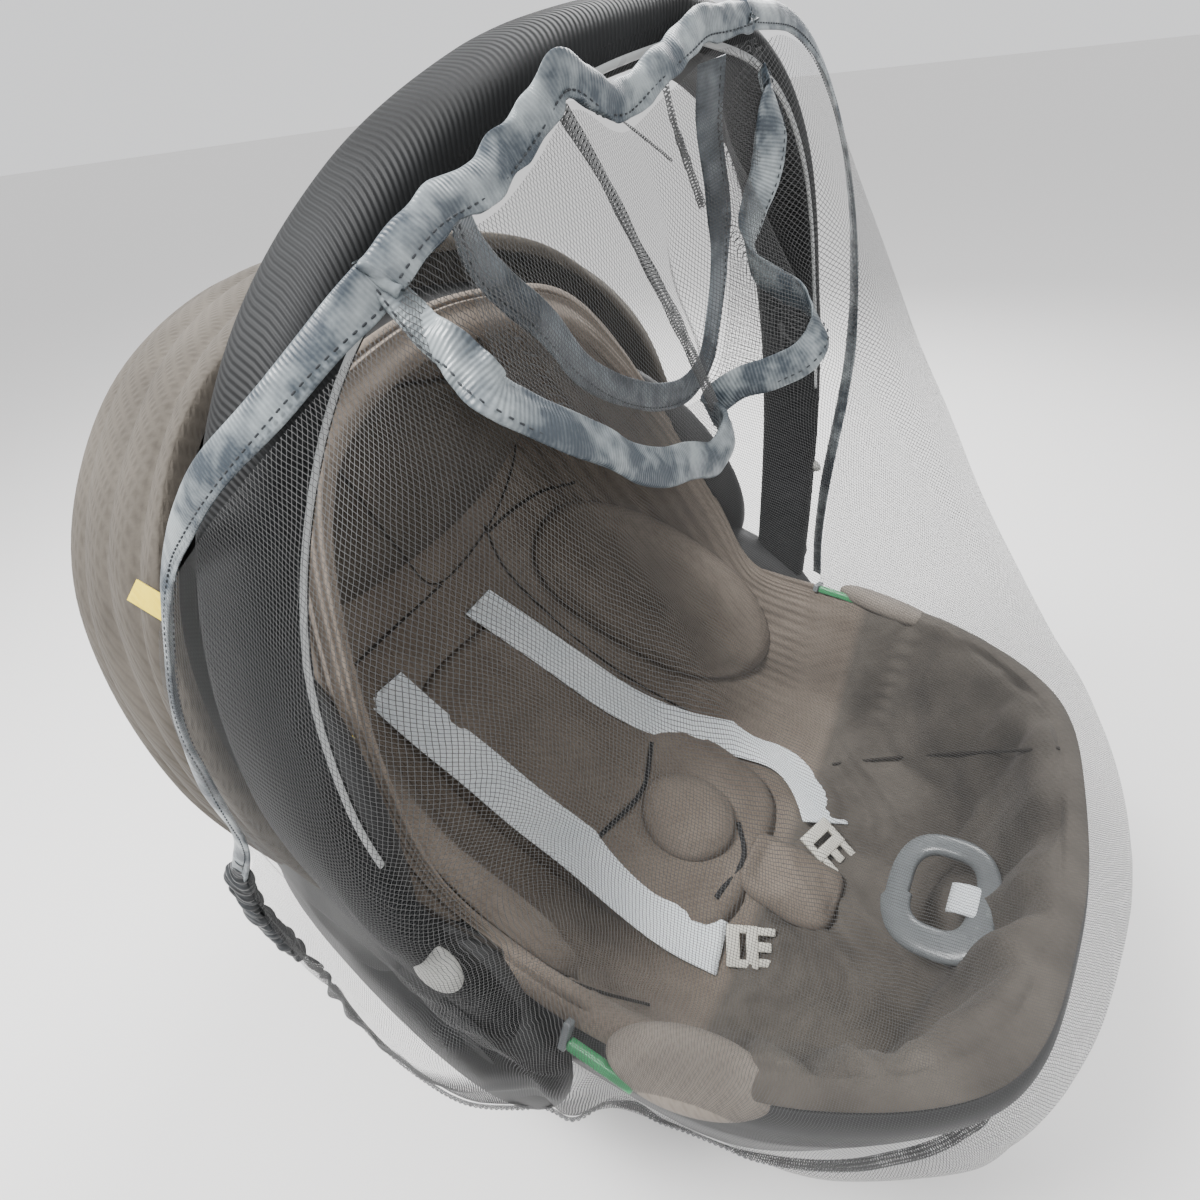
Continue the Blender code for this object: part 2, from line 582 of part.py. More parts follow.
def build_net(shell, mats):
    top, base, hem = panel_frame()
    rows = panel_point_rows(top, base, hem, shell)
    tuck = np.zeros(rows.shape[1])
    tuck[NEAR_COLS - 1:NEAR_COLS + 2] = CORNER_TUCK
    tuck[NEAR_COLS + DIP_COLS - 2:NEAR_COLS + DIP_COLS + 1] = CORNER_TUCK
    tuck[-3:] = CORNER_TUCK
    strip, rest = split_strip(rows, TAPE_WIDTH, tuck)
    sheet("net_front_panel", rest, NET_THICK, mats["net"])
    near = strip[:, :NEAR_COLS]
    dip = strip[:, NEAR_COLS:NEAR_COLS + DIP_COLS]
    far = strip[:, NEAR_COLS + DIP_COLS:]
    sheet("panel_binding", dip, TAPE_THICK, mats["tape"])
    flap_top = smooth_line(EDGE_ROWS[NEAR_END:FAR_START + 1], FLAP_COLS)
    flap_edge = smooth_line(FLAP_ROWS, FLAP_COLS)
    lift = np.linspace(0.0, 1.0, FLAP_GRID_ROWS)[:, None, None]
    flap = flap_top[None] * (1 - lift) + flap_edge[None] * lift
    total = np.linalg.norm(flap_edge - flap_top, axis=1)
    top_part = TAPE_WIDTH + 0 * total
    low_part = np.minimum(TAPE_WIDTH, total - TAPE_WIDTH - 2 * SEAM - LEAST_NET)
    steps = np.array([[0.0], [0.5], [1.0]])
    top_strip = along_columns(flap, top_part * steps)
    low_strip = along_columns(flap, total - low_part * steps[::-1])
    inner = np.linspace(0.0, 1.0, FLAP_GRID_ROWS)[:, None]
    left = total - top_part - low_part - 2 * SEAM
    middle = along_columns(flap, top_part + SEAM + left * inner)
    sheet("net_upper_flap", middle[:, 2:-1], NET_THICK, mats["net"])
    sheet("flap_binding", low_strip[:, 2:-1], TAPE_THICK, mats["tape"])
    whole = np.concatenate([near[:, :-1], top_strip, far[:, 1:]], axis=1)
    sheet("edge_binding", whole, TAPE_THICK, mats["tape"])


def main():
    for obj in list(bpy.data.objects):
        bpy.data.objects.remove(obj, do_unlink=True)
    mats = {
        "net": material("black_net", (0.10, 0.11, 0.12), 0.8),
        "tape": material("satin_tape", (0.12, 0.15, 0.18), 0.35),
        "shell": material("grey_shell", (0.05, 0.05, 0.05), 0.5),
        "cover": material("taupe_cover", (0.16, 0.14, 0.12), 0.9),
        "handle": material("black_handle", (0.02, 0.02, 0.02), 0.5),
        "cap": material("grey_cap", (0.30, 0.31, 0.30), 0.5),
        "plate": material("silver_plate", (0.35, 0.37, 0.38), 0.35),
        "strap": material("pale_webbing", (0.62, 0.66, 0.70), 0.7),
        "tongue": material("ivory_plastic", (0.62, 0.60, 0.52), 0.4),
        "guide": material("green_plastic", (0.03, 0.20, 0.07), 0.4),
    }
    shell, seat = build_seat(mats)
    build_padding(seat, mats)
    build_canopy(mats)
    build_handle(mats)
    build_net(surface_tree(shell), mats)


main()
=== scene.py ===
import math
import bmesh
import bpy
import numpy as np
from mathutils import Matrix, Vector
from mathutils.bvhtree import BVHTree


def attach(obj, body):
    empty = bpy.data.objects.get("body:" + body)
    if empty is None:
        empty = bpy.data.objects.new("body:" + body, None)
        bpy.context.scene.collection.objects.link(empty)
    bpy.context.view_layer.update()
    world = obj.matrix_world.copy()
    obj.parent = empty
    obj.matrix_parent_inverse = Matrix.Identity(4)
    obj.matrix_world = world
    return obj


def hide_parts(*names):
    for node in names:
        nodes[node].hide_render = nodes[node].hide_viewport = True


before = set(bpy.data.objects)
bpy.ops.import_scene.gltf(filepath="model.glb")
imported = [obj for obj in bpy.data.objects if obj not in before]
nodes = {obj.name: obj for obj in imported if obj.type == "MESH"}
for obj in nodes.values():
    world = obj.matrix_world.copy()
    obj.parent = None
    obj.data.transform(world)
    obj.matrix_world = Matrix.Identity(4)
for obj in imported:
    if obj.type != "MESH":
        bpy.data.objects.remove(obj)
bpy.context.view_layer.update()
mm = 0.001               # every table below is in millimetres
print("frame loaded:", len(nodes), "nodes")

# camera, as fitted to the seat's symmetric points
camera = {
    "azimuth": 36.785,
    "elevation": 39.88,
    "roll": -6.884,
    "focalPixels": 616.977,
    "imagePixels": 1200.0,
    "place": (145.148, -234.483, 582.056),
}


def cameraAxes():
    az, el, roll = np.radians([camera["azimuth"], camera["elevation"], camera["roll"]])
    back = np.array([math.sin(az) * math.cos(el), -math.cos(az) * math.cos(el), math.sin(el)])
    right = np.cross(-back, (0.0, 0.0, 1.0))
    right = right / np.linalg.norm(right)
    up = np.cross(right, -back)
    turnedRight = math.cos(roll) * right + math.sin(roll) * up
    turnedUp = -math.sin(roll) * right + math.cos(roll) * up
    return turnedRight, turnedUp, back


def linked(name, data):
    made = bpy.data.objects.new(name, data)
    bpy.context.scene.collection.objects.link(made)
    return made


def makeCamera():
    right, up, back = cameraAxes()
    data = bpy.data.cameras.new("photoCamera")
    eye = linked("photoCamera", data)
    eye.matrix_world = Matrix([[right[k], up[k], back[k], camera["place"][k] * mm] for k in range(3)]
                              + [[0.0, 0.0, 0.0, 1.0]])
    data.sensor_width = 36.0
    data.lens = camera["focalPixels"] / camera["imagePixels"] * data.sensor_width
    data.clip_start = 0.005
    bpy.context.scene.camera = eye


def seenAt(px, py, tree):
    # where the sight line through a pixel of the photograph meets a surface, in mm; None if it misses
    right, up, back = cameraAxes()
    half = camera["imagePixels"] / 2
    ray = right * (px - half) + up * (half - py) - back * camera["focalPixels"]
    ray = ray / np.linalg.norm(ray)
    hit = tree.ray_cast(Vector(camera["place"]) * mm, Vector(ray))
    if hit[0] is None:
        return None
    normal = np.array(hit[1])
    return np.array(hit[0]) / mm, normal * -np.sign(np.dot(normal, ray))


makeCamera()
print("camera placed")


# shared shape work: every surface is a grid of points, rows down and columns across

def unit(vectors):
    return vectors / np.maximum(np.linalg.norm(vectors, axis=-1, keepdims=True), 1e-9)


def resample(grid, count, axis=0):
    # cubic curve through the grid's points along one axis, at evenly spaced steps
    g = np.moveaxis(np.asarray(grid, float), axis, 0)
    last = len(g) - 1
    t = np.linspace(0, last, count)
    k = np.clip(t.astype(int), 0, last - 1)
    f = (t - k).reshape(-1, *([1] * (g.ndim - 1)))
    a, b, c, d = g[np.maximum(k - 1, 0)], g[k], g[k + 1], g[np.minimum(k + 2, last)]
    out = 0.5 * (2 * b + (c - a) * f + (2 * a - 5 * b + 4 * c - d) * f ** 2
                 + (3 * b - a - 3 * c + d) * f ** 3)
    return np.moveaxis(out, 0, axis)


def lengthsAlong(line):
    return np.concatenate([[0.0], np.cumsum(np.linalg.norm(np.diff(line, axis=0), axis=1))])


def arcSteps(points):
    run = lengthsAlong(points)
    return run / run[-1]


def smoothLine(rows, count):
    # a smooth curve through the rows (Hermite, slopes from the neighbours), evenly spaced
    pts = np.array(rows, float)
    at = arcSteps(pts)
    slope = np.gradient(pts, at, axis=0)
    want = np.linspace(0.0, 1.0, count * 8)
    seg = np.clip(np.searchsorted(at, want, side="right") - 1, 0, len(at) - 2)
    width = (at[seg + 1] - at[seg])[:, None]
    t = ((want - at[seg]) / width[:, 0])[:, None]
    near = (2 * t ** 3 - 3 * t ** 2 + 1) * pts[seg] + (t ** 3 - 2 * t ** 2 + t) * width * slope[seg]
    far = (3 * t ** 2 - 2 * t ** 3) * pts[seg + 1] + (t ** 3 - t ** 2) * width * slope[seg + 1]
    dense = near + far
    run = arcSteps(dense)
    even = np.linspace(0.0, 1.0, count)
    return np.stack([np.interp(even, run, dense[:, k]) for k in range(3)], axis=1)


def gridNormals(grid):
    return unit(np.cross(np.gradient(grid, axis=0), np.gradient(grid, axis=1)))


def softNoise(rows, cols, rowCells, colCells, seed):
    # smooth random relief, about -1 to 1: a coarse random grid drawn through by cubic curves
    coarse = np.random.default_rng(seed).uniform(-1.0, 1.0, (rowCells + 1, colCells + 1))
    return resample(resample(coarse, rows, 0), cols, 1)


def flattened(grid, rounds=400):
    # the grid laid out flat, in metres: each point moves until its steps have their true lengths
    across = np.linalg.norm(np.diff(grid, axis=1), axis=2)
    down = np.linalg.norm(np.diff(grid, axis=0), axis=2)
    slant = np.linalg.norm(grid[1:, 1:] - grid[:-1, :-1], axis=2)
    other = np.linalg.norm(grid[1:, :-1] - grid[:-1, 1:], axis=2)
    x = np.concatenate([np.zeros((len(grid), 1)), np.cumsum(across, axis=1)], axis=1)
    x = x - x[:, x.shape[1] // 2][:, None]
    y = np.concatenate([np.zeros((1, grid.shape[1])), np.cumsum(down, axis=0)], axis=0)
    flat = np.stack([x, y - y.max(axis=0) * 0.5], axis=2)
    for _ in range(rounds):
        move = np.zeros_like(flat)
        for want, (r0, c0, r1, c1) in ((across, (0, 0, 0, 1)), (down, (0, 0, 1, 0)),
                                       (slant, (0, 0, 1, 1)), (other, (0, 1, 1, 0))):
            rows, cols = want.shape
            first = (slice(r0, r0 + rows), slice(c0, c0 + cols))
            second = (slice(r1, r1 + rows), slice(c1, c1 + cols))
            gap = flat[second] - flat[first]
            length = np.maximum(np.linalg.norm(gap, axis=2), 1e-6)
            step = gap * ((length - want) / length)[..., None] * 0.11
            move[first] += step
            move[second] -= step
        flat = flat + move
    return flat * mm


def gridPiece(name, grid, material, uv=None, around=False, capEnds=False):
    # mesh of a grid in mm; around closes each row on itself, capEnds fills the first and last row
    rows, cols = grid.shape[:2]
    index = np.arange(rows * cols).reshape(rows, cols)
    if around:
        index = np.concatenate([index, index[:, :1]], axis=1)
    cell = [index[:-1, :-1], index[1:, :-1], index[1:, 1:], index[:-1, 1:]]
    quads = np.stack(cell, axis=-1).reshape(-1, 4)
    points = grid.reshape(-1, 3)
    loops = quads.reshape(-1)
    totals = np.full(len(quads), 4)
    if capEnds:
        points = np.concatenate([points, grid[0].mean(axis=0)[None], grid[-1].mean(axis=0)[None]])
        first = np.full(cols, len(points) - 2)
        last = first + 1
        start = np.stack([first, index[0, :-1], index[0, 1:]], axis=1)
        end = np.stack([last, index[-1, 1:], index[-1, :-1]], axis=1)
        loops = np.concatenate([loops, start.reshape(-1), end.reshape(-1)])
        totals = np.concatenate([totals, np.full(2 * cols, 3)])
    mesh = bpy.data.meshes.new(name)
    mesh.vertices.add(len(points))
    mesh.vertices.foreach_set("co", (points * mm).reshape(-1).astype(np.float32))
    mesh.loops.add(len(loops))
    mesh.loops.foreach_set("vertex_index", loops.astype(np.int32))
    mesh.polygons.add(len(totals))
    mesh.polygons.foreach_set("loop_start", np.concatenate([[0], np.cumsum(totals)[:-1]]).astype(np.int32))
    if uv is not None:
        spots = [uv[:-1, :-1], uv[1:, :-1], uv[1:, 1:], uv[:-1, 1:]]
        flat = np.stack(spots, axis=2).reshape(-1, 2)
        flat = np.concatenate([flat, np.zeros((len(loops) - len(flat), 2))])
        mesh.uv_layers.new(name="cloth").data.foreach_set("uv", flat.reshape(-1).astype(np.float32))
    mesh.update(calc_edges=True)
    mesh.validate()
    mesh.shade_smooth()
    mesh.materials.append(material)
    return linked(name, mesh)


def place(piece, slotName, *replaced):
    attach(piece, "root")
    if replaced:
        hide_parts(*replaced)
    return piece


def treeOf(piece):
    verts = [v.co.copy() for v in piece.data.vertices]
    return BVHTree.FromPolygons(verts, [tuple(p.vertices) for p in piece.data.polygons])


def tube(line, side, out, halfWide, halfThick, corners=16, square=0.8):
    # a rounded flat section carried along a line; square below 1 makes its corners fuller
    turn = np.arange(corners) * 2 * math.pi / corners
    wide = np.sign(np.cos(turn)) * np.abs(np.cos(turn)) ** square
    deep = np.sign(np.sin(turn)) * np.abs(np.sin(turn)) ** square
    halfWide = np.broadcast_to(halfWide, (len(line),))
    halfThick = np.broadcast_to(halfThick, (len(line),))
    return (line[:, None] + side[:, None] * (halfWide[:, None] * wide)[..., None]
            + out[:, None] * (halfThick[:, None] * deep)[..., None])


def tubeUv(grid, halfWide):
    run = lengthsAlong(grid.mean(axis=1))
    around = np.linspace(0.0, 4.0 * halfWide, grid.shape[1] + 1)
    return np.stack(np.meshgrid(run, around, indexing="ij"), axis=2) * mm


def closedPiece(name, grid, material, halfWide=None):
    # a tube or pad, closed all round; with halfWide it gets cloth coordinates
    uv = None if halfWide is None else tubeUv(grid, halfWide)
    return gridPiece(name, grid, material, uv, around=True, capEnds=True)


# materials

def newMaterial(name, colour, rough, sheen=0.0):
    mat = bpy.data.materials.new(name)
    mat.use_nodes = True
    shader = mat.node_tree.nodes["Principled BSDF"]
    shader.inputs["Base Color"].default_value = (*colour, 1.0)
    shader.inputs["Roughness"].default_value = rough
    shader.inputs["Sheen Weight"].default_value = sheen
    shader.inputs["Sheen Roughness"].default_value = 0.5
    return mat, mat.node_tree, shader


def maths(tree, kind, first, second=None, third=None):
    node = tree.nodes.new("ShaderNodeMath")
    node.operation = kind
    for k, value in enumerate((first, second, third)):
        if value is None:
            continue
        if isinstance(value, (int, float)):
            node.inputs[k].default_value = value
        else:
            tree.links.new(value, node.inputs[k])
    return node.outputs[0]


def mixColour(tree, factor, first, second):
    node = tree.nodes.new("ShaderNodeMix")
    node.data_type = "RGBA"
    for socket, value in ((node.inputs[0], factor), (node.inputs[6], first), (node.inputs[7], second)):
        if isinstance(value, tuple):
            socket.default_value = (*value, 1.0)
        elif isinstance(value, (int, float)):
            socket.default_value = value
        else:
            tree.links.new(value, socket)
    return node.outputs[2]


def noiseValue(tree, vector, scale, detail=2.0, rough=0.5):
    node = tree.nodes.new("ShaderNodeTexNoise")
    tree.links.new(vector, node.inputs["Vector"])
    node.inputs["Scale"].default_value = scale
    node.inputs["Detail"].default_value = detail
    node.inputs["Roughness"].default_value = rough
    return node.outputs[0]


def remap(tree, value, low, high, newLow=0.0, newHigh=1.0):
    node = tree.nodes.new("ShaderNodeMapRange")
    tree.links.new(value, node.inputs[0])
    for k, number in zip((1, 2, 3, 4), (low, high, newLow, newHigh)):
        node.inputs[k].default_value = number
    return node.outputs[0]


def bump(tree, height, strength, distance):
    node = tree.nodes.new("ShaderNodeBump")
    node.inputs["Strength"].default_value = strength
    node.inputs["Distance"].default_value = distance
    tree.links.new(height, node.inputs["Height"])
    return node.outputs[0]


def newGroup(name, inputs, outputs):
    group = bpy.data.node_groups.new(name, "ShaderNodeTree")
    for label, kind, value in inputs:
        socket = group.interface.new_socket(name=label, in_out="INPUT", socket_type=kind)
        if value is not None:
            socket.default_value = value
    for label, kind in outputs:
        group.interface.new_socket(name=label, in_out="OUTPUT", socket_type=kind)
    return group, group.nodes.new("NodeGroupInput"), group.nodes.new("NodeGroupOutput")


def useGroup(tree, group, **values):
    node = tree.nodes.new("ShaderNodeGroup")
    node.node_tree = group
    for label, value in values.items():
        if isinstance(value, (int, float)):
            node.inputs[label].default_value = value
        else:
            tree.links.new(value, node.inputs[label])
    return node.outputs


def makeMeshGroup():
    # knitted net: two slanted families of threads; Mask is 1 on a thread, Shade varies along them
    group, inside, out = newGroup(
        "knittedNet",
        [("Vector", "NodeSocketVector", None), ("Pitch", "NodeSocketFloat", 0.002),
         ("Thread", "NodeSocketFloat", 0.2)],
        [("Mask", "NodeSocketFloat"), ("Shade", "NodeSocketFloat")])
    wobble = group.nodes.new("ShaderNodeTexNoise")
    wobble.inputs["Scale"].default_value = 90.0
    group.links.new(inside.outputs["Vector"], wobble.inputs["Vector"])
    shift = maths(group, "MULTIPLY", maths(group, "SUBTRACT", wobble.outputs[0], 0.5), 0.0012)
    split = group.nodes.new("ShaderNodeSeparateXYZ")
    group.links.new(inside.outputs["Vector"], split.inputs[0])
    u = maths(group, "ADD", split.outputs[0], shift)
    v = maths(group, "MULTIPLY", split.outputs[1], 0.62)
    families = []
    for kind in ("ADD", "SUBTRACT"):
        along = maths(group, "DIVIDE", maths(group, kind, u, v), inside.outputs["Pitch"])
        families.append(maths(group, "ABSOLUTE", maths(group, "SUBTRACT", maths(group, "FRACT", along), 0.5)))
    nearest = maths(group, "MINIMUM", families[0], families[1])
    mask = maths(group, "LESS_THAN", nearest, maths(group, "MULTIPLY", inside.outputs["Thread"], 0.5))
    knot = maths(group, "MAXIMUM", families[0], families[1])
    group.links.new(mask, out.inputs["Mask"])
    group.links.new(maths(group, "SUBTRACT", 1.0, maths(group, "MULTIPLY", knot, 1.6)), out.inputs["Shade"])
    return group


def makeWeaveGroup():
    # plain weave or fine ribs: Height of crossing threads, Mottle a slow change of tone
    group, inside, out = newGroup(
        "weaveRelief",
        [("Vector", "NodeSocketVector", None), ("Across", "NodeSocketFloat", 900.0),
         ("Along", "NodeSocketFloat", 900.0)],
        [("Height", "NodeSocketFloat"), ("Mottle", "NodeSocketFloat")])
    split = group.nodes.new("ShaderNodeSeparateXYZ")
    group.links.new(inside.outputs["Vector"], split.inputs[0])
    depth = maths(group, "ADD", split.outputs[0], split.outputs[2])
    first = maths(group, "SINE", maths(group, "MULTIPLY", maths(group, "ADD", split.outputs[1], depth),
                                       inside.outputs["Across"]))
    second = maths(group, "SINE", maths(group, "MULTIPLY", maths(group, "SUBTRACT", split.outputs[1], depth),
                                        inside.outputs["Along"]))
    grain = noiseValue(group, inside.outputs["Vector"], 700.0, 2.0)
    height = maths(group, "ADD", maths(group, "MULTIPLY", maths(group, "MAXIMUM", first, second), 0.35),
                   maths(group, "MULTIPLY", grain, 0.5))
    group.links.new(height, out.inputs["Height"])
    group.links.new(noiseValue(group, inside.outputs["Vector"], 22.0, 4.0, 0.6), out.inputs["Mottle"])
    return group


meshGroup = makeMeshGroup()
weaveGroup = makeWeaveGroup()


def coordinates(tree, uvMap=None):
    if uvMap:
        node = tree.nodes.new("ShaderNodeUVMap")
        node.uv_map = uvMap
        return node.outputs[0]
    return tree.nodes.new("ShaderNodeTexCoord").outputs["Object"]


def netMaterial(name, colour, lighter, pitch, thread, gathered=None):
    mat, tree, shader = newMaterial(name, colour, 0.7)
    uv = coordinates(tree, "cloth")
    share = thread
    if gathered:
        # towards the near hem the net is drawn together, so its threads lie closer
        split = tree.nodes.new("ShaderNodeSeparateXYZ")
        tree.links.new(coordinates(tree), split.inputs[0])
        outward = remap(tree, split.outputs[1], *gathered["y"])
        low = remap(tree, split.outputs[2], *gathered["z"])
        share = maths(tree, "MULTIPLY_ADD", maths(tree, "MULTIPLY", outward, low), gathered["more"], thread)
    net = useGroup(tree, meshGroup, Vector=uv, Pitch=pitch, Thread=share)
    tree.links.new(mixColour(tree, net["Shade"], colour, lighter), shader.inputs["Base Color"])
    tree.links.new(net["Mask"], shader.inputs["Alpha"])
    return mat


def satinMaterial(name, dark, light, ribPitch):
    # woven satin tape with fine ribs across its length and lighter stretches, which are painted highlights of
    # the satin
    mat, tree, shader = newMaterial(name, dark, 0.42)
    shader.inputs["Specular IOR Level"].default_value = 0.35
    uv = coordinates(tree, "cloth")
    split = tree.nodes.new("ShaderNodeSeparateXYZ")
    tree.links.new(uv, split.inputs[0])
    ribs = maths(tree, "SINE", maths(tree, "MULTIPLY", split.outputs[0], 2 * math.pi / ribPitch))
    place3d = coordinates(tree)
    # slow lightens stretches of the tape: painted highlights where the satin would catch the light; it also
    # lowers their roughness
    slow = remap(tree, noiseValue(tree, place3d, 48.0, 3.0, 0.65), 0.42, 0.64)
    fine = remap(tree, noiseValue(tree, place3d, 420.0, 2.0, 0.7), 0.3, 0.8, -0.12, 0.25)
    tone = maths(tree, "ADD", slow, fine)
    tone = maths(tree, "MULTIPLY_ADD", ribs, 0.07, tone)
    tree.links.new(mixColour(tree, tone, dark, light), shader.inputs["Base Color"])
    tree.links.new(remap(tree, slow, 0.0, 1.0, 0.45, 0.28), shader.inputs["Roughness"])
    height = maths(tree, "ADD", maths(tree, "MULTIPLY", ribs, 0.5), noiseValue(tree, place3d, 500.0, 2.0))
    tree.links.new(bump(tree, height, 0.4, 0.0003), shader.inputs["Normal"])
    return mat


def fabricMaterial(name, dark, light, across=1500.0, along=1500.0, rough=0.9, relief=0.0005):
    mat, tree, shader = newMaterial(name, dark, rough, sheen=0.04)
    shader.inputs["Specular IOR Level"].default_value = 0.25
    spot = coordinates(tree)
    weave = useGroup(tree, weaveGroup, Vector=spot, Across=across, Along=along)
    tone = maths(tree, "ADD", remap(tree, weave["Mottle"], 0.3, 0.7, 0.0, 0.6),
                 maths(tree, "MULTIPLY", weave["Height"], 0.45))
    tree.links.new(mixColour(tree, tone, dark, light), shader.inputs["Base Color"])
    tree.links.new(bump(tree, weave["Height"], 0.6, relief), shader.inputs["Normal"])
    return mat


def twoToneMaterial(name, first, second, border, width):
    # knit cover whose cloth is darker towards the foot end, with the border across X
    mat = fabricMaterial(name, *first)
    tree = mat.node_tree
    shader = tree.nodes["Principled BSDF"]
    spot = coordinates(tree)
    split = tree.nodes.new("ShaderNodeSeparateXYZ")
    tree.links.new(spot, split.inputs[0])
    share = remap(tree, split.outputs[0], border - width, border + width)
    plain = shader.inputs["Base Color"].links[0].from_socket
    tone = remap(tree, noiseValue(tree, spot, 22.0, 4.0, 0.6), 0.3, 0.7)
    foot = mixColour(tree, tone, *second)
    tree.links.new(mixColour(tree, share, plain, foot), shader.inputs["Base Color"])
    return mat


def plasticMaterial(name, colour, worn, rough, grain=900.0, relief=0.00015):
    mat, tree, shader = newMaterial(name, colour, rough)
    spot = coordinates(tree)
    slow = remap(tree, noiseValue(tree, spot, 18.0, 4.0, 0.6), 0.35, 0.75)
    wornShare = maths(tree, "MULTIPLY", slow, 0.5)
    tree.links.new(mixColour(tree, wornShare, colour, worn), shader.inputs["Base Color"])
    tree.links.new(remap(tree, slow, 0.0, 1.0, rough - 0.06, rough + 0.1), shader.inputs["Roughness"])
    tree.links.new(bump(tree, noiseValue(tree, spot, grain, 2.0), 0.5, relief), shader.inputs["Normal"])
    return mat


def ribbedMaterial(name, dark, light, pitch):
    # a dull grip with fine ribs that slant across the bar
    mat, tree, shader = newMaterial(name, dark, 0.62)
    shader.inputs["Specular IOR Level"].default_value = 0.14
    split = tree.nodes.new("ShaderNodeSeparateXYZ")
    tree.links.new(coordinates(tree, "cloth"), split.inputs[0])
    slant = maths(tree, "MULTIPLY_ADD", split.outputs[1], 0.55, split.outputs[0])
    ribs = maths(tree, "SINE", maths(tree, "MULTIPLY", slant, 2 * math.pi / pitch))
    slow = remap(tree, noiseValue(tree, coordinates(tree), 24.0, 3.0), 0.35, 0.7, 0.0, 0.5)
    tone = maths(tree, "MULTIPLY_ADD", remap(tree, ribs, 0.2, 1.0), 0.5, slow)
    tree.links.new(mixColour(tree, tone, dark, light), shader.inputs["Base Color"])
    tree.links.new(bump(tree, ribs, 0.5, 0.00025), shader.inputs["Normal"])
    return mat


netLook = netMaterial("knittedNetCloth", (0.020, 0.021, 0.022), (0.055, 0.055, 0.055), 0.00125, 0.15,
                      {"y": (-0.185, -0.205), "z": (0.262, 0.236), "more": 0.55})
denseNetLook = netMaterial("bunchedNet", (0.045, 0.048, 0.05), (0.16, 0.16, 0.16), 0.0011, 0.42)
# the lighter tone of each satin below is its painted highlight colour
tapeLook = satinMaterial("satinBinding", (0.036, 0.047, 0.059), (0.255, 0.285, 0.295), 0.0011)
darkTapeLook = satinMaterial("grainyBinding", (0.030, 0.038, 0.047), (0.135, 0.155, 0.170), 0.0011)
elasticLook = satinMaterial("gatheredElastic", (0.008, 0.009, 0.010), (0.035, 0.038, 0.041), 0.0016)
coverLook = fabricMaterial("taupeKnit", (0.110, 0.088, 0.070), (0.215, 0.180, 0.148))
seatLook = twoToneMaterial("seatKnit", ((0.110, 0.088, 0.070), (0.215, 0.180, 0.148)),
                           ((0.060, 0.052, 0.044), (0.118, 0.104, 0.088)), 0.100, 0.004)
pillowLook = fabricMaterial("darkPillowKnit", (0.066, 0.056, 0.046), (0.125, 0.108, 0.090))
canopyLook = fabricMaterial("canopyCloth", (0.050, 0.043, 0.035), (0.105, 0.092, 0.076), 700.0, 2200.0)
stitchLook = fabricMaterial("darkThread", (0.02, 0.022, 0.025), (0.05, 0.055, 0.06))
shellLook = plasticMaterial("blackShell", (0.012, 0.0122, 0.0125), (0.030, 0.030, 0.030), 0.58)
handleLook = ribbedMaterial("blackHandle", (0.006, 0.0063, 0.0066), (0.020, 0.021, 0.022), 0.0018)
# light grey for the painted highlight along the handle's ridge
ridgeHighlightLook = plasticMaterial("paintedRidgeHighlight", (0.36, 0.37, 0.37), (0.48, 0.49, 0.49), 0.32)
capLook = plasticMaterial("greyButton", (0.30, 0.30, 0.28), (0.38, 0.38, 0.36), 0.45)
plateLook = plasticMaterial("silverPlate", (0.12, 0.13, 0.135), (0.24, 0.26, 0.27), 0.24)
ivoryLook = plasticMaterial("ivoryPlastic", (0.62, 0.60, 0.53), (0.70, 0.68, 0.62), 0.38)
greenLook = plasticMaterial("greenPlastic", (0.03, 0.22, 0.08), (0.06, 0.28, 0.12), 0.35)
tagLook = fabricMaterial("yellowLabel", (0.75, 0.55, 0.03), (0.9, 0.72, 0.08))
strapLook = fabricMaterial("paleWebbing", (0.74, 0.80, 0.84), (0.90, 0.93, 0.95), 1800.0, 2600.0, 0.6)
# near black for the painted shade in the seams
seamShadeLook = fabricMaterial("paintedSeamShade", (0.020, 0.017, 0.014), (0.045, 0.038, 0.032))
bandLook = fabricMaterial("blackElastic", (0.012, 0.012, 0.013), (0.03, 0.03, 0.03))
rimPadLook = fabricMaterial("beigePad", (0.145, 0.125, 0.105), (0.235, 0.205, 0.175))
print("materials made")


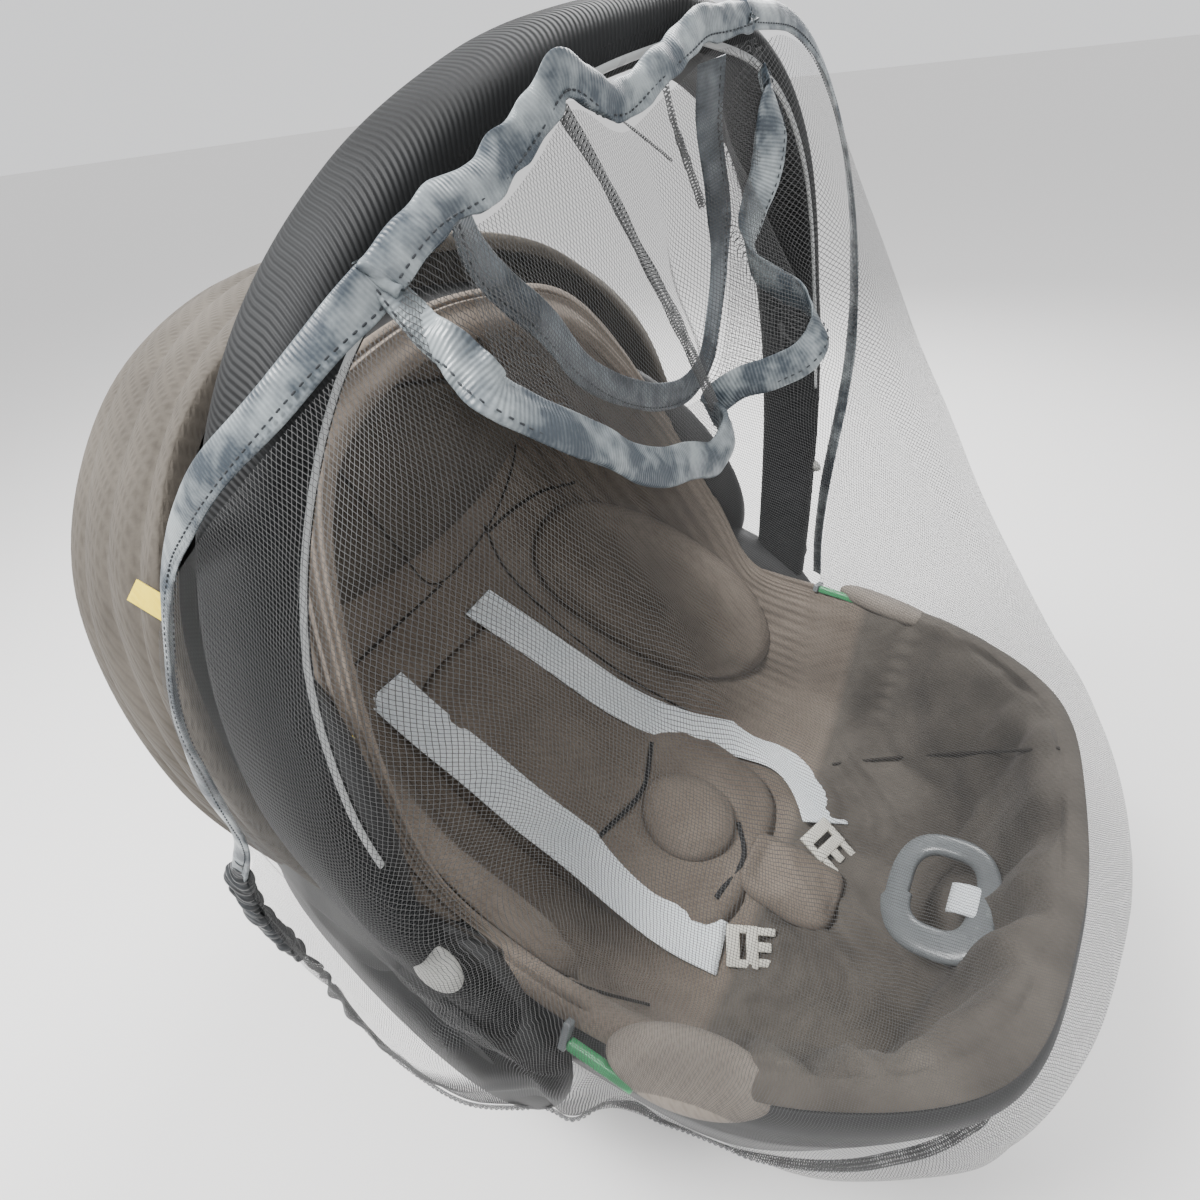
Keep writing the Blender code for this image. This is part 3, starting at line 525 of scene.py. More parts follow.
# the net's routes, in mm; points run from the near side to the far side
net = {
    "edge": [(-95, -226, 240), (-101, -227, 268), (-96, -223, 312), (-66, -215, 366),
             (-53, -213, 410), (-44, -206, 447), (-34, -196, 477), (-22, -189, 503),
             (4, -184, 527), (24, -171, 545), (37, -152, 560), (38, -131, 569), (38, -117, 572),
             (37, -98, 580), (38, -84, 588), (40, -68, 582), (38, -42, 587), (38, -24, 592),
             (38, -10, 596), (38, 8, 597), (38, 28, 598), (38, 63, 596), (38, 92, 588),
             (38, 133, 566), (38, 166, 541), (40, 191, 508), (42, 212, 466), (44, 221, 417),
             (42, 224, 372), (40, 223, 322), (42, 221, 268), (46, 219, 236)],
    "dip": [(31, -118, 562), (31, -104, 550), (31, -94, 540), (31, -76, 520), (31, -50, 501),
            (32, -28, 491), (33, -6, 488), (33, 9, 494), (32, 18, 510), (31, 21, 532),
            (31, 16, 552), (31, 9, 570), (31, 5, 582)],
    "dipShown": [(36, -120, 571), (31, -112, 557), (31, -94, 540), (31, -76, 520), (31, -50, 501),
                 (32, -28, 491), (33, -6, 488), (33, 9, 494), (32, 18, 510), (31, 21, 532),
                 (31, 16, 552), (31, 9, 570), (34, 3, 588)],
    "slack": [(31, -118, 556), (36, -98, 532), (42, -74, 508), (46, -48, 495), (46, -26, 493),
              (46, -8, 503), (43, 6, 523), (40, 16, 548), (37, 22, 574)],
    "flapEdge": [(38, -151, 556), (46, -151, 547), (52, -151, 542), (55, -151, 541), (59, -151, 538),
                 (64, -151, 534), (68, -145, 527),
                 (71, -128, 515), (72, -109, 500), (72, -92, 491), (72, -76, 484), (71, -58, 478),
                 (70, -46, 481), (61, -40, 485), (68, -36, 492), (79, -30, 497), (88, -24, 502),
                 (90, -18, 507), (84, -12, 513), (71, -7, 518), (59, -2, 522), (54, 3, 529),
                 (54, 8, 538), (56, 12, 546), (56, 16, 559), (53, 19, 568), (49, 20, 575)],
    "hem": [(-78, -226, 214), (-60, -229, 212), (-36, -231, 210), (-8, -230, 208),
            (20, -225, 205), (42, -213, 204), (66, -198, 204), (98, -186, 205),
            (132, -176, 208), (163, -170, 212), (200, -150, 216), (227, -129, 218),
            (246, -90, 216), (257, -44, 214), (261, 0, 213)],
    "farHemEnd": 5,          # the far side's hem mirrors the near one only down to this row
    "flapFrom": 10,          # rows of the edge between which the flap is sewn
    "flapTo": 20,
    "nearColumns": 22,
    "dipColumns": 16,
    "farColumns": 16,
    "panelRows": 15,
    "hemMarks": ((0, 12, 21, 37, 53), (0.0, 0.196, 0.415, 0.70, 1.0)),
    "rimX": (-90, -60, -20, 20, 50, 80, 130, 180, 230, 262),
    "rimZ": (262, 278, 288, 290, 278, 266, 275, 280, 284, 280),
    "rimIn": (1, 1, 1, 1, 2, 3, 4, 4, 4, 4),
    "sag": 26.0,
    "tapeWide": 13.0,
    "tapeThick": 2.4,
    "seam": 1.0,
    "cornerTuck": 4.0,
    "leastNet": 1.5,
    "armClear": 2.6,
    "armEase": 36.0,
    "hemTuck": 7.0,
    "hemReach": 24.0,
    "gripGap": 1.4,
}
handle = {
    "rows": [(22, 194.6, 236), (21, 196.6, 285), (18, 202, 330), (14, 205, 385), (9, 203, 435),
             (6, 192, 475), (6, 175, 508), (7, 152, 537), (9, 115, 565), (12, 68, 584),
             (15, 0, 595)],
    "wide": 40.0,
    "thick": 18.0,
    "shown": [(20, 194.6, 236), (17, 196.6, 285), (13, 202, 330), (8, 205, 385), (5, 203, 435),
              (0, 192, 475), (-2, 175, 508), (-2, 152, 537), (2, 115, 565), (7, 68, 584), (12, 0, 595)],
    # height above which the ridge's painted highlight is laid
    "highlightAbove": 400.0,
    "shownWide": [(236, 38), (330, 35), (435, 33), (475, 30), (537, 31), (565, 34), (584, 37), (596, 38)],
}
mirrorY = np.array([1.0, -1.0, 1.0])


def spread(rows, marks, count):
    line = smoothLine(rows, 400)
    share = np.interp(np.arange(count), *marks)
    return np.stack([np.interp(share, np.linspace(0, 1, 400), line[:, k]) for k in range(3)], axis=1)


def panelFrame():
    near = smoothLine(net["edge"][:net["flapFrom"] + 1], net["nearColumns"])
    dip = smoothLine(net["dip"], net["dipColumns"])
    slack = smoothLine(net["slack"], net["dipColumns"])
    far = smoothLine(net["edge"][net["flapTo"]:], net["farColumns"])
    top = np.concatenate([near, dip, far])
    base = np.concatenate([near, slack, far])
    half = np.array(net["hem"], float)
    hemRows = np.concatenate([half, half[-2:net["farHemEnd"]:-1] * mirrorY])
    return top, base, spread(hemRows, net["hemMarks"], len(top))


def rimAbove(hem, top):
    x = hem[:, 0]
    toward = unit(np.stack([-x * 0.6, -hem[:, 1], 0 * x], axis=1))
    line = hem + toward * np.interp(x, net["rimX"], net["rimIn"])[:, None]
    belowTop = hem[:, 2] + (top[:, 2] - hem[:, 2]) * 0.62
    line[:, 2] = np.minimum(np.interp(x, net["rimX"], net["rimZ"]), belowTop)
    return line


def overArm(points):
    # the net is lifted off the near arm, easing off to both sides of it
    arm = smoothLine(handle["rows"], 60)
    arm = np.concatenate([arm * mirrorY, arm[::-1]])
    along = unit(np.gradient(arm, axis=0))
    out = unit(np.cross(along, (-1.0, 0.0, 0.0)))
    flat = points.reshape(-1, 3)
    gap = flat[:, None, 1:] - arm[None, :, 1:]
    near = np.argmin(np.sum(gap ** 2, axis=2), axis=1)
    away = np.sum((flat - arm[near]) * out[near], axis=1)
    beside = np.abs(flat[:, 0] - arm[near, 0]) - handle["wide"] / 2
    ease = 1.0 - np.clip((beside - 4.0) / net["armEase"], 0.0, 1.0)
    ease = ease * ease * (3 - 2 * ease) * (np.abs(away) < 60.0)
    ease = ease * np.clip((-flat[:, 1] - 95.0) / 20.0, 0.0, 1.0)
    push = np.clip(handle["thick"] / 2 + net["armClear"] - away, 0.0, 40.0) * ease
    return (flat + out[near] * push[:, None]).reshape(points.shape)


def gripped(hem, shell):
    # the hem's elastic, drawn in to the shell where the shell is near
    line = hem - np.array([0.0, 0.0, net["hemTuck"]])
    spots = [shell.find_nearest(Vector(p * mm)) for p in line]
    spot = np.array([s[0] for s in spots]) / mm
    normal = np.array([s[1] for s in spots])
    gap = np.interp(line[:, 0], (200, 250), (net["gripGap"] + 1.8, net["gripGap"]))
    target = spot + normal * gap[:, None]
    near = np.clip((net["hemReach"] - np.linalg.norm(target - line, axis=1)) / 10.0, 0.0, 1.0)
    return line + (target - line) * near[:, None]


def panelRows(top, base, hem, shell):
    rim = rimAbove(hem, top)
    pull = np.sin(np.linspace(0, math.pi, len(top))) ** 1.5
    v = (np.linspace(0.0, 1.0, net["panelRows"] - 3) ** 1.25)[:, None, None]
    rows = base * (1 - v) + rim * v + (top - base) * (1 - v) ** 6
    rows[:, :, 2] -= (net["sag"] * 4 * v * (1 - v))[..., 0] * pull
    outward = unit((hem - rim) * np.array([1.0, 1.0, 0.0]))
    last = [rim * 0.72 + hem * 0.28 + outward * 2.6, rim * 0.35 + hem * 0.65 + outward * 1.6, hem,
            gripped(hem, shell)]
    rows = np.concatenate([rows, np.array(last)])
    near = net["nearColumns"]
    rows[1:, :near] = overArm(rows[1:, :near])
    for _ in range(3):
        rows[1:5] = rows[1:5] * 0.5 + (rows[0:4] + rows[2:6]) * 0.25
        rows[1:, :near] = overArm(rows[1:, :near])
    return rows


def alongColumns(rows, lengths):
    # points at the given lengths down each column
    step = np.linalg.norm(np.diff(rows, axis=0), axis=2)
    run = np.concatenate([np.zeros((1, rows.shape[1])), np.cumsum(step, axis=0)])
    found = [[np.interp(lengths[:, c], run[:, c], rows[:, c, k]) for k in range(3)]
             for c in range(rows.shape[1])]
    return np.transpose(np.array(found), (2, 0, 1))


def netGrids():
    # strips of binding and fields of net, as grids
    top, base, hem = panelFrame()
    rows = panelRows(top, base, hem, treeOf(nodes["seat_shell"]))
    total = np.sum(np.linalg.norm(np.diff(rows, axis=0), axis=2), axis=0)
    tuck = np.zeros(rows.shape[1])
    near, dip = net["nearColumns"], net["dipColumns"]
    tuck[near - 1:near + 2] = net["cornerTuck"]
    tuck[near + dip - 2:near + dip + 1] = net["cornerTuck"]
    tuck[-3:] = net["cornerTuck"]
    part = np.minimum(net["tapeWide"], (total - net["leastNet"] - 2 * net["seam"]) / 2)
    steps = np.array([[0.0], [0.5], [1.0]])
    strip = alongColumns(rows, part * steps)
    share = np.linspace(0.0, 1.0, 46)[:, None] ** 1.2
    begin = part - 2.0 + tuck * 0.4      # the net runs a little way in between the tape's two layers
    panel = alongColumns(resample(rows, 91), begin + (total - begin) * share)
    flapTop = smoothLine(net["edge"][net["flapFrom"]:net["flapTo"] + 1], 40)
    flapEdge = smoothLine(net["flapEdge"], 40)
    lift = np.linspace(0.0, 1.0, 9)[:, None, None]
    flap = flapTop * (1 - lift) + flapEdge * lift
    total = np.linalg.norm(flapEdge - flapTop, axis=1)
    wide = net["tapeWide"]
    lowPart = np.minimum(wide, total - wide - 2 * net["seam"] - net["leastNet"])
    topStrip = alongColumns(flap, wide * steps + 0 * total)
    inner = np.linspace(0.0, 1.0, 9)[:, None]
    field = alongColumns(flap, wide - 2.0 + (total - wide - lowPart + 4.0) * inner)
    edge = np.concatenate([strip[:, :near - 1], topStrip, strip[:, near + dip + 1:]], axis=1)
    return {"panel": panel, "flap": field, "edge": edge}


grids = netGrids()
print("net routes worked out")

frontPanel = {
    "rows": 150,
    "columns": 300,
    "wrinkle": 1.1,          # small unevenness of the stretched net
    "pleats": 1.6,           # pleats that run out from the near gathered corner
    "ridge": 3.0,            # crease over the near rim
    "nearFan": {"count": 26, "slant": 2.4, "from": 0.02, "reach": 0.10},
    "farFan": {"count": 34, "slant": -1.5, "from": 0.39, "reach": 0.05},
    "armShare": 0.42,        # share of the columns that can lie on the near arm
    "flatRounds": 1500,
}


def makeFrontPanel():
    grid = resample(resample(grids["panel"], frontPanel["rows"]), frontPanel["columns"], 1)
    rows, cols = grid.shape[:2]
    v = np.linspace(0.0, 1.0, rows)[:, None]
    u = np.linspace(0.0, 1.0, cols)[None, :]
    hold = np.sin(math.pi * np.clip(v * 1.02, 0, 1)) ** 0.7     # nothing moves at binding and hem
    relief = softNoise(rows, cols, 9, 14, 3) * frontPanel["wrinkle"]
    near, far = [np.sin(2 * math.pi * (u * fan["count"] + v * fan["slant"]))
                 * np.exp(-((u - fan["from"]) / fan["reach"]) ** 2)
                 for fan in (frontPanel["nearFan"], frontPanel["farFan"])]
    fan = near + 0.7 * far * (1 - v) ** 2
    relief = relief + fan * frontPanel["pleats"]
    crease = np.exp(-((v - 0.80 - 0.05 * np.sin(u * 9)) / 0.022) ** 2) * np.exp(-((u - 0.14) / 0.09) ** 2)
    relief = relief + crease * frontPanel["ridge"]
    grid = grid + gridNormals(grid) * (relief * hold)[..., None]
    onArm = int(cols * frontPanel["armShare"])
    grid[:, :onArm] = overArm(grid[:, :onArm])
    flat = flattened(grids["panel"][::2, ::2], frontPanel["flatRounds"])
    flat = resample(resample(flat, rows), cols, 1)
    return place(gridPiece("netFrontPanel", grid, netLook, flat), "net", "net_front_panel"), grid


def makeFlap():
    grid = resample(resample(grids["flap"][:, 5:], 60), 220, 1)
    rows, cols = grid.shape[:2]
    v = np.linspace(0.0, 1.0, rows)[:, None]
    relief = softNoise(rows, cols, 4, 12, 7) * 1.4 * np.sin(math.pi * v)
    grid = grid + gridNormals(grid) * relief[..., None]
    flat = resample(resample(flattened(grids["flap"][:, 5:]), rows), cols, 1)
    return place(gridPiece("netUpperFlap", grid, netLook, flat), "net", "net_upper_flap")


def makeTape(name, outer, inner, wide, material, count, ruffle, seed, slotNode, startWide=(1.0, 1.0)):
    # folded tape: full at its outer fold, pinched along the seam line near the net
    outer = resample(outer, count)
    inner = resample(inner, count)
    side = unit(inner - outer)
    steady = count // 14
    side[:steady], side[-steady:] = side[steady], side[-steady]
    line = outer + side * wide / 2
    share = np.linspace(0.0, 1.0, count)
    halfWide = wide / 2 * np.interp(share, (0.0, 0.05, 0.12, 0.96, 1.0), (*startWide, 1.0, 1.0, startWide[0]))
    out = unit(np.cross(side, np.gradient(line, axis=0)))
    side = np.cross(np.gradient(line, axis=0), out)
    side = unit(side) * np.sign(np.sum(side * (inner - outer), axis=1, keepdims=True))
    corners = 22
    turn = np.arange(corners) * 2 * math.pi / corners
    wide = np.sign(np.cos(turn)) * np.abs(np.cos(turn)) ** 0.7
    deep = np.sin(turn)
    pinch = 1.0 - 0.55 * np.exp(-((wide - 0.66) / 0.16) ** 2)
    thick = net["tapeThick"] / 2 * pinch * deep
    ends = np.sin(math.pi * np.linspace(0, 1, count)) ** 0.08
    folds = softNoise(count, corners, count // 9, 5, seed) * ruffle[:, None]
    folds = folds + softNoise(count, corners, count // 26, 3, seed + 1) * (0.5 + ruffle[:, None] * 0.8)
    sway = softNoise(count, 1 + 1, count // 14, 1, seed + 2)[:, 0] * (0.4 + ruffle * 0.6)
    spread2d = line[:, None] + side[:, None] * (halfWide[:, None] * wide + sway[:, None])[..., None]
    grid = spread2d + out[:, None] * ((thick * ends[:, None] + folds * 0.6))[..., None]
    place(closedPiece(name, grid[::-1], material, halfWide.mean()), "tape", slotNode)
    return line, side, out, halfWide


def stitchRow(name, line, side, out, offset, lift, spacing=2.3, long=1.3, radius=0.24):
    # short threads lying in a row: each is a six sided bar
    run = lengthsAlong(line)
    at = np.arange(spacing, run[-1] - spacing, spacing)

    def pick(values):
        return np.stack([np.interp(at, run, values[:, k]) for k in range(3)], axis=1)

    spot = pick(line + side * np.reshape(offset, (-1, 1)) + out * lift)
    way = unit(pick(np.gradient(line, axis=0)))
    up = unit(pick(out))
    flank = np.cross(way, up)
    turn = np.arange(6) * math.pi / 3
    ring = (flank[:, None] * np.cos(turn)[None, :, None] + up[:, None] * np.sin(turn)[None, :, None]) * radius
    parts = [spot[:, None] + way[:, None] * s * long / 2 + ring * w
             for s, w in ((-1.0, 0.3), (-0.7, 1.0), (0.7, 1.0), (1.0, 0.3))]
    points = np.stack(parts, axis=1)
    n = len(at)
    base = (np.arange(n) * 24)[:, None, None, None]
    k = np.arange(6)
    quad = np.stack([k, (k + 1) % 6, (k + 1) % 6 + 6, k + 6], axis=1)[None, None]
    rings = (np.arange(3) * 6)[None, :, None, None]
    faces = (base + rings + quad).reshape(-1, 4)
    ends = np.stack([np.arange(n) * 24 + 5 - k for k in range(6)], axis=1)
    tips = np.stack([np.arange(n) * 24 + 18 + k for k in range(6)], axis=1)
    mesh = bpy.data.meshes.new(name)
    mesh.from_pydata((points.reshape(-1, 3) * mm).tolist(), [],
                     faces.tolist() + ends.tolist() + tips.tolist())
    mesh.materials.append(stitchLook)
    mesh.shade_smooth()
    return place(linked(name, mesh), "tape")


panelPiece, panelGrid = makeFrontPanel()
flapPiece = makeFlap()
print("net panels made")


def ruffleAlong(count, marks):
    # how strongly the tape is drawn together along its length
    share = np.linspace(0.0, 1.0, count)
    return np.interp(share, [m[0] for m in marks], [m[1] for m in marks])


edgeRuffle = ruffleAlong(760, [(0.0, 1.6), (0.07, 1.4), (0.11, 0.5), (0.30, 0.4), (0.40, 0.9), (0.47, 1.3),
                               (0.52, 1.3), (0.56, 0.7), (0.60, 1.1), (0.66, 0.7), (1.0, 0.5)])
flapTop = smoothLine(net["edge"][net["flapFrom"]:net["flapTo"] + 1], 90)
flapEdge = smoothLine(net["flapEdge"], 90)
dipLine = smoothLine(net["dipShown"], 90)
dipAside = np.tile((0.18, 0.0, -1.0), (90, 1)) + np.linspace(-1, 1, 90)[:, None] * (0.0, 0.9, 0.0)
dipAside = dipAside * 8.0
tapes = {"edge": 9.0, "dip": 10.5, "flap": 11.5}
edgeTape = makeTape("edgeBinding", grids["edge"][0], grids["edge"][2], tapes["edge"], tapeLook, 760,
                    edgeRuffle, 11, "edge_binding")
dipTape = makeTape("panelBinding", dipLine, dipLine + dipAside, tapes["dip"], darkTapeLook, 220,
                   np.full(220, 0.8), 21, "panel_binding")
flapTape = makeTape("flapBinding", flapEdge, flapTop, tapes["flap"], tapeLook, 300, np.full(300, 1.0), 31,
                    "flap_binding", startWide=(0.45, 0.62))
stitchShare = 0.66        # how far from the tape's middle its seam lies
sewn = {"edge": (edgeTape, stitchShare), "dip": (dipTape, stitchShare), "flap": (flapTape, -stitchShare)}
for label, ((line, side, out, halfWide), share) in sewn.items():
    for face, lift in (("Outer", 1.0), ("Inner", -1.0)):
        stitchRow(label + "Stitches" + face, line, side, out, halfWide * share, lift)
print("bindings made")

# thin pleats of net that are drawn together between the gathered points
strands = {
    "long": {"rows": [(40, -86, 578), (46, -81, 565), (52, -74, 547), (57, -67, 531), (60, -53, 508),
                      (62, -43, 491)], "wide": 3.4},
    "short": {"rows": [(40, -36, 582), (42, -35, 573), (44, -30, 562), (45, -20, 548)], "wide": 2.4},
    "thread": {"rows": [(40, -70, 578), (41, -52, 570), (42, -35, 562)], "wide": 0.7},
}


def makeStrands():
    for label, spec in strands.items():
        line = smoothLine(spec["rows"], 60)
        along = unit(np.gradient(line, axis=0))
        out = unit(np.cross(along, (0.4, 0.8, 0.0)))
        side = np.cross(out, along)
        wave = 1.0 + 0.25 * softNoise(60, 2, 12, 1, 5)[:, 0]
        grid = tube(line, side, out, spec["wide"] / 2 * wave, spec["wide"] * 0.3 * wave, 10, 1.0)
        place(closedPiece("netPleat_" + label, grid, denseNetLook, spec["wide"] / 2), "net")


makeStrands()

hem = {"wide": 5.0, "thick": 1.8, "ribPitch": 2.6, "rib": 0.7, "out": 1.3, "points": 2400}


def makeHem():
    # the net's elastic hem: a narrow band drawn up into even ribs
    line = smoothLine(panelGrid[-1][::4], hem["points"])
    along = unit(np.gradient(line, axis=0))
    side = unit(np.gradient(panelGrid, axis=0)[-1])
    side = unit(resample(side, hem["points"]))
    out = unit(np.cross(along, side))
    out = out * np.sign(np.sum(out * (line - np.array([0.0, 0.0, 200.0])), axis=1, keepdims=True))
    run = lengthsAlong(line)
    rib = np.abs(np.sin(run * math.pi / hem["ribPitch"]))
    grid = tube(line - side * 1.5 + out * hem["out"], side, out, hem["wide"] / 2,
                hem["thick"] / 2 * (0.5 + 0.5 * rib), 12, 0.8)
    grid = grid + out[:, None] * (rib * hem["rib"])[:, None, None] * 0.5
    place(closedPiece("hemElastic", grid, denseNetLook, hem["wide"] / 2), "net")


makeHem()

elastic = {"share": 0.105, "wide": 17.0, "thick": 8.5, "folds": 19, "points": 1400}


def makeElastic():
    # the near end of the edge: binding bunched up over its elastic, in tight folds
    line = smoothLine(edgeTape[0], elastic["points"])[:int(elastic["points"] * elastic["share"])]
    side = unit(resample(edgeTape[1], elastic["points"])[:len(line)])
    out = unit(np.cross(side, np.gradient(line, axis=0)))
    share = np.linspace(0.0, 1.0, len(line))
    fold = np.abs(np.sin(share * math.pi * elastic["folds"] + 0.8 * np.sin(share * 23)))
    taper = np.clip((1.0 - share) / 0.25, 0.35, 1.0)
    halfWide = elastic["wide"] / 2 * (0.78 + 0.22 * fold) * taper
    halfThick = elastic["thick"] / 2 * (0.55 + 0.45 * fold) * taper
    grid = tube(line, side, out, halfWide, halfThick, 28, 0.9)
    grid = grid + out[:, None] * (softNoise(len(line), 28, 30, 5, 77) * 1.2)[..., None]
    place(closedPiece("edgeElastic", grid, elasticLook, elastic["wide"] / 2), "tape")


makeElastic()


def makeHandle():
    near = smoothLine(handle["shown"], 161)
    far = smoothLine(handle["rows"], 161)
    far[:, 0] = far[:, 0] * np.linspace(1.0, 0.8, 161)
    line = np.concatenate([near * mirrorY, far[-2::-1]])
    along = unit(np.gradient(line, axis=0))
    side = np.tile((1.0, 0.0, 0.0), (len(line), 1))
    side = unit(side - along * np.sum(side * along, axis=1, keepdims=True))
    out = np.cross(along, side)
    wide = np.interp(line[:, 2], *np.array(handle["shownWide"], float).T) / 2
    farShare = np.clip(line[:, 1] / 60.0, 0.0, 1.0)
    wide = wide * (1 - farShare) + handle["wide"] / 2 * farShare
    grid = tube(line, side, out, wide, handle["thick"] / 2, 40, 0.72)
    # a raised line runs along the outside face towards the foot end
    turn = np.arange(40) * 2 * math.pi / 40
    crest = np.exp(-((np.cos(turn) - 0.80) / 0.09) ** 2) * (np.sin(turn) > 0)
    grid = grid + out[:, None] * (crest * 0.9)[None, :, None]
    place(closedPiece("handleBar", grid, handleLook, handle["wide"] / 2), "handle", "handle")
    # a light grey bead laid along the ridge, on its upper part only, is painted highlight: it stands for the
    # ridge's glint on the black handle
    ridge = line + side * (wide * 0.93)[:, None] + out * (handle["thick"] * 0.24)
    kept = line[:, 2] > handle["highlightAbove"]
    highlightBand = tube(ridge[kept], side[kept], out[kept], 1.3, 1.3, 10, 1.0)
    place(closedPiece("handleRidgeHighlight", highlightBand, ridgeHighlightLook), "handle")


makeHandle()
for name in ("handle_cap_near", "handle_cap_far"):
    nodes[name].data.materials.clear()
    nodes[name].data.materials.append(handleLook)
print("handle made")


# the seat, seen through the net: half rings from the foot end to the head end, mirrored in Y
seat = {
    "outer": [
        [(170, 0, 0), (150, 80, 0), (105, 107, 0), (30, 120, 0), (-40, 122, 0), (-110, 116, 0),
         (-170, 94, 0), (-214, 54, 0), (-228, 0, 0)],
        [(200, 0, 24), (176, 95, 24), (125, 124, 23), (40, 138, 22), (-40, 142, 22), (-120, 138, 24),
         (-195, 114, 32), (-262, 68, 50), (-285, 0, 62)],
        [(228, 0, 108), (197, 112, 108), (144, 152, 104), (55, 168, 104), (-35, 172, 114),
         (-120, 172, 140), (-215, 148, 190), (-305, 90, 250), (-334, 0, 288)],
        [(246, 0, 196), (214, 117, 196), (156, 161, 192), (60, 182, 186), (-20, 185, 205),
         (-95, 188, 250), (-172, 172, 330), (-248, 110, 418), (-272, 0, 450)],
        [(253, 0, 248), (223, 119, 252), (161, 163, 246), (60, 184, 232), (-4, 186, 242),
         (-56, 192, 290), (-110, 176, 380), (-156, 122, 470), (-172, 0, 506)],
        [(249, 0, 262), (219, 116, 268), (160, 158, 262), (60, 180, 246), (0, 181, 252),
         (-34, 184, 300), (-74, 160, 392), (-106, 108, 478), (-120, 0, 504)],
    ],
    "inner": [
        [(229, 0, 256), (203, 101, 260), (147, 142, 256), (62, 163, 242), (8, 166, 248),
         (-26, 168, 296), (-66, 142, 384), (-98, 91, 462), (-110, 0, 486)],
        [(223, 0, 198), (195, 95, 205), (140, 136, 205), (62, 151, 200), (0, 156, 205),
         (-60, 160, 240), (-120, 145, 320), (-160, 100, 418), (-172, 0, 466)],
        [(204, 0, 150), (178, 88, 150), (130, 131, 158), (60, 139, 152), (-10, 145, 160),
         (-90, 149, 195), (-165, 137, 270), (-215, 100, 358), (-228, 0, 412)],
        [(165, 0, 122), (145, 70, 122), (105, 95, 118), (50, 105, 114), (-20, 110, 128),
         (-95, 112, 158), (-165, 100, 205), (-214, 60, 250), (-226, 0, 290)],
        [(110, 0, 112), (100, 30, 112), (75, 45, 112), (40, 52, 114), (0, 54, 122),
         (-50, 52, 134), (-105, 46, 155), (-150, 30, 185), (-176, 0, 205)],
    ],
    "wall": 7.0,
    "join": 1.2,
    "round": 240,
    "overRim": 4.0,          # how far the cover's edge rolls out over the shell's rim
    "footFrom": 92.0,        # the darker cloth of the foot end begins here
    "wrinkle": 4.4,
    "wingRib": 0.55,
    "wingFrom": 96.0,        # the ribbed wings begin this far from the middle
    "unevenness": 1.1,
    "groove": 3.0,
    "piping": 1.8,
    "underRows": 20,
    "topRows": 190,
    "rolledRows": 58,        # rows of the rolled edge, which stay smooth
    "cornerReach": 7.0,      # points beside a corner that its rounding reaches
    "cornerRounds": 40,
}


def ringLine(rows):
    # a closed ring; where the halves meet, its corner is rounded off
    half = smoothLine(rows, seat["round"] // 2 + 1)
    ring = np.concatenate([half, half[-2:0:-1] * mirrorY])
    quarter = seat["round"] // 4
    apart = np.abs((np.arange(seat["round"]) + quarter) % (2 * quarter) - quarter)
    share = np.exp(-(apart / seat["cornerReach"]) ** 2)[:, None] * 0.5
    for _ in range(seat["cornerRounds"]):
        ring = ring + ((np.roll(ring, 1, 0) + np.roll(ring, -1, 0)) / 2 - ring) * share
    return ring


def ringNormals(rings):
    aroundWay = np.roll(rings, -1, axis=1) - np.roll(rings, 1, axis=1)
    return unit(np.cross(aroundWay, np.gradient(rings, axis=0)))


def makeShell():
    outer = np.array([ringLine(rows) for rows in seat["outer"]])
    out = ringNormals(outer)
    out[0] = (0.0, 0.0, -1.0)
    inner = outer - out * seat["wall"]
    inner[0, :, 2] = seat["wall"]
    outer = resample(outer, 66)
    inner = resample(inner, 66)
    rim = (outer[-1:] + inner[-1:]) / 2 + np.array([0.0, 0.0, 1.5])
    grid = np.concatenate([outer[:1] * (0.5, 0.5, 1.0), outer, rim, inner[::-1], inner[:1] * (0.5, 0.5, 1.0)])
    place(closedPiece("seatShell", grid, shellLook), "shell", "seat_shell")
    return out


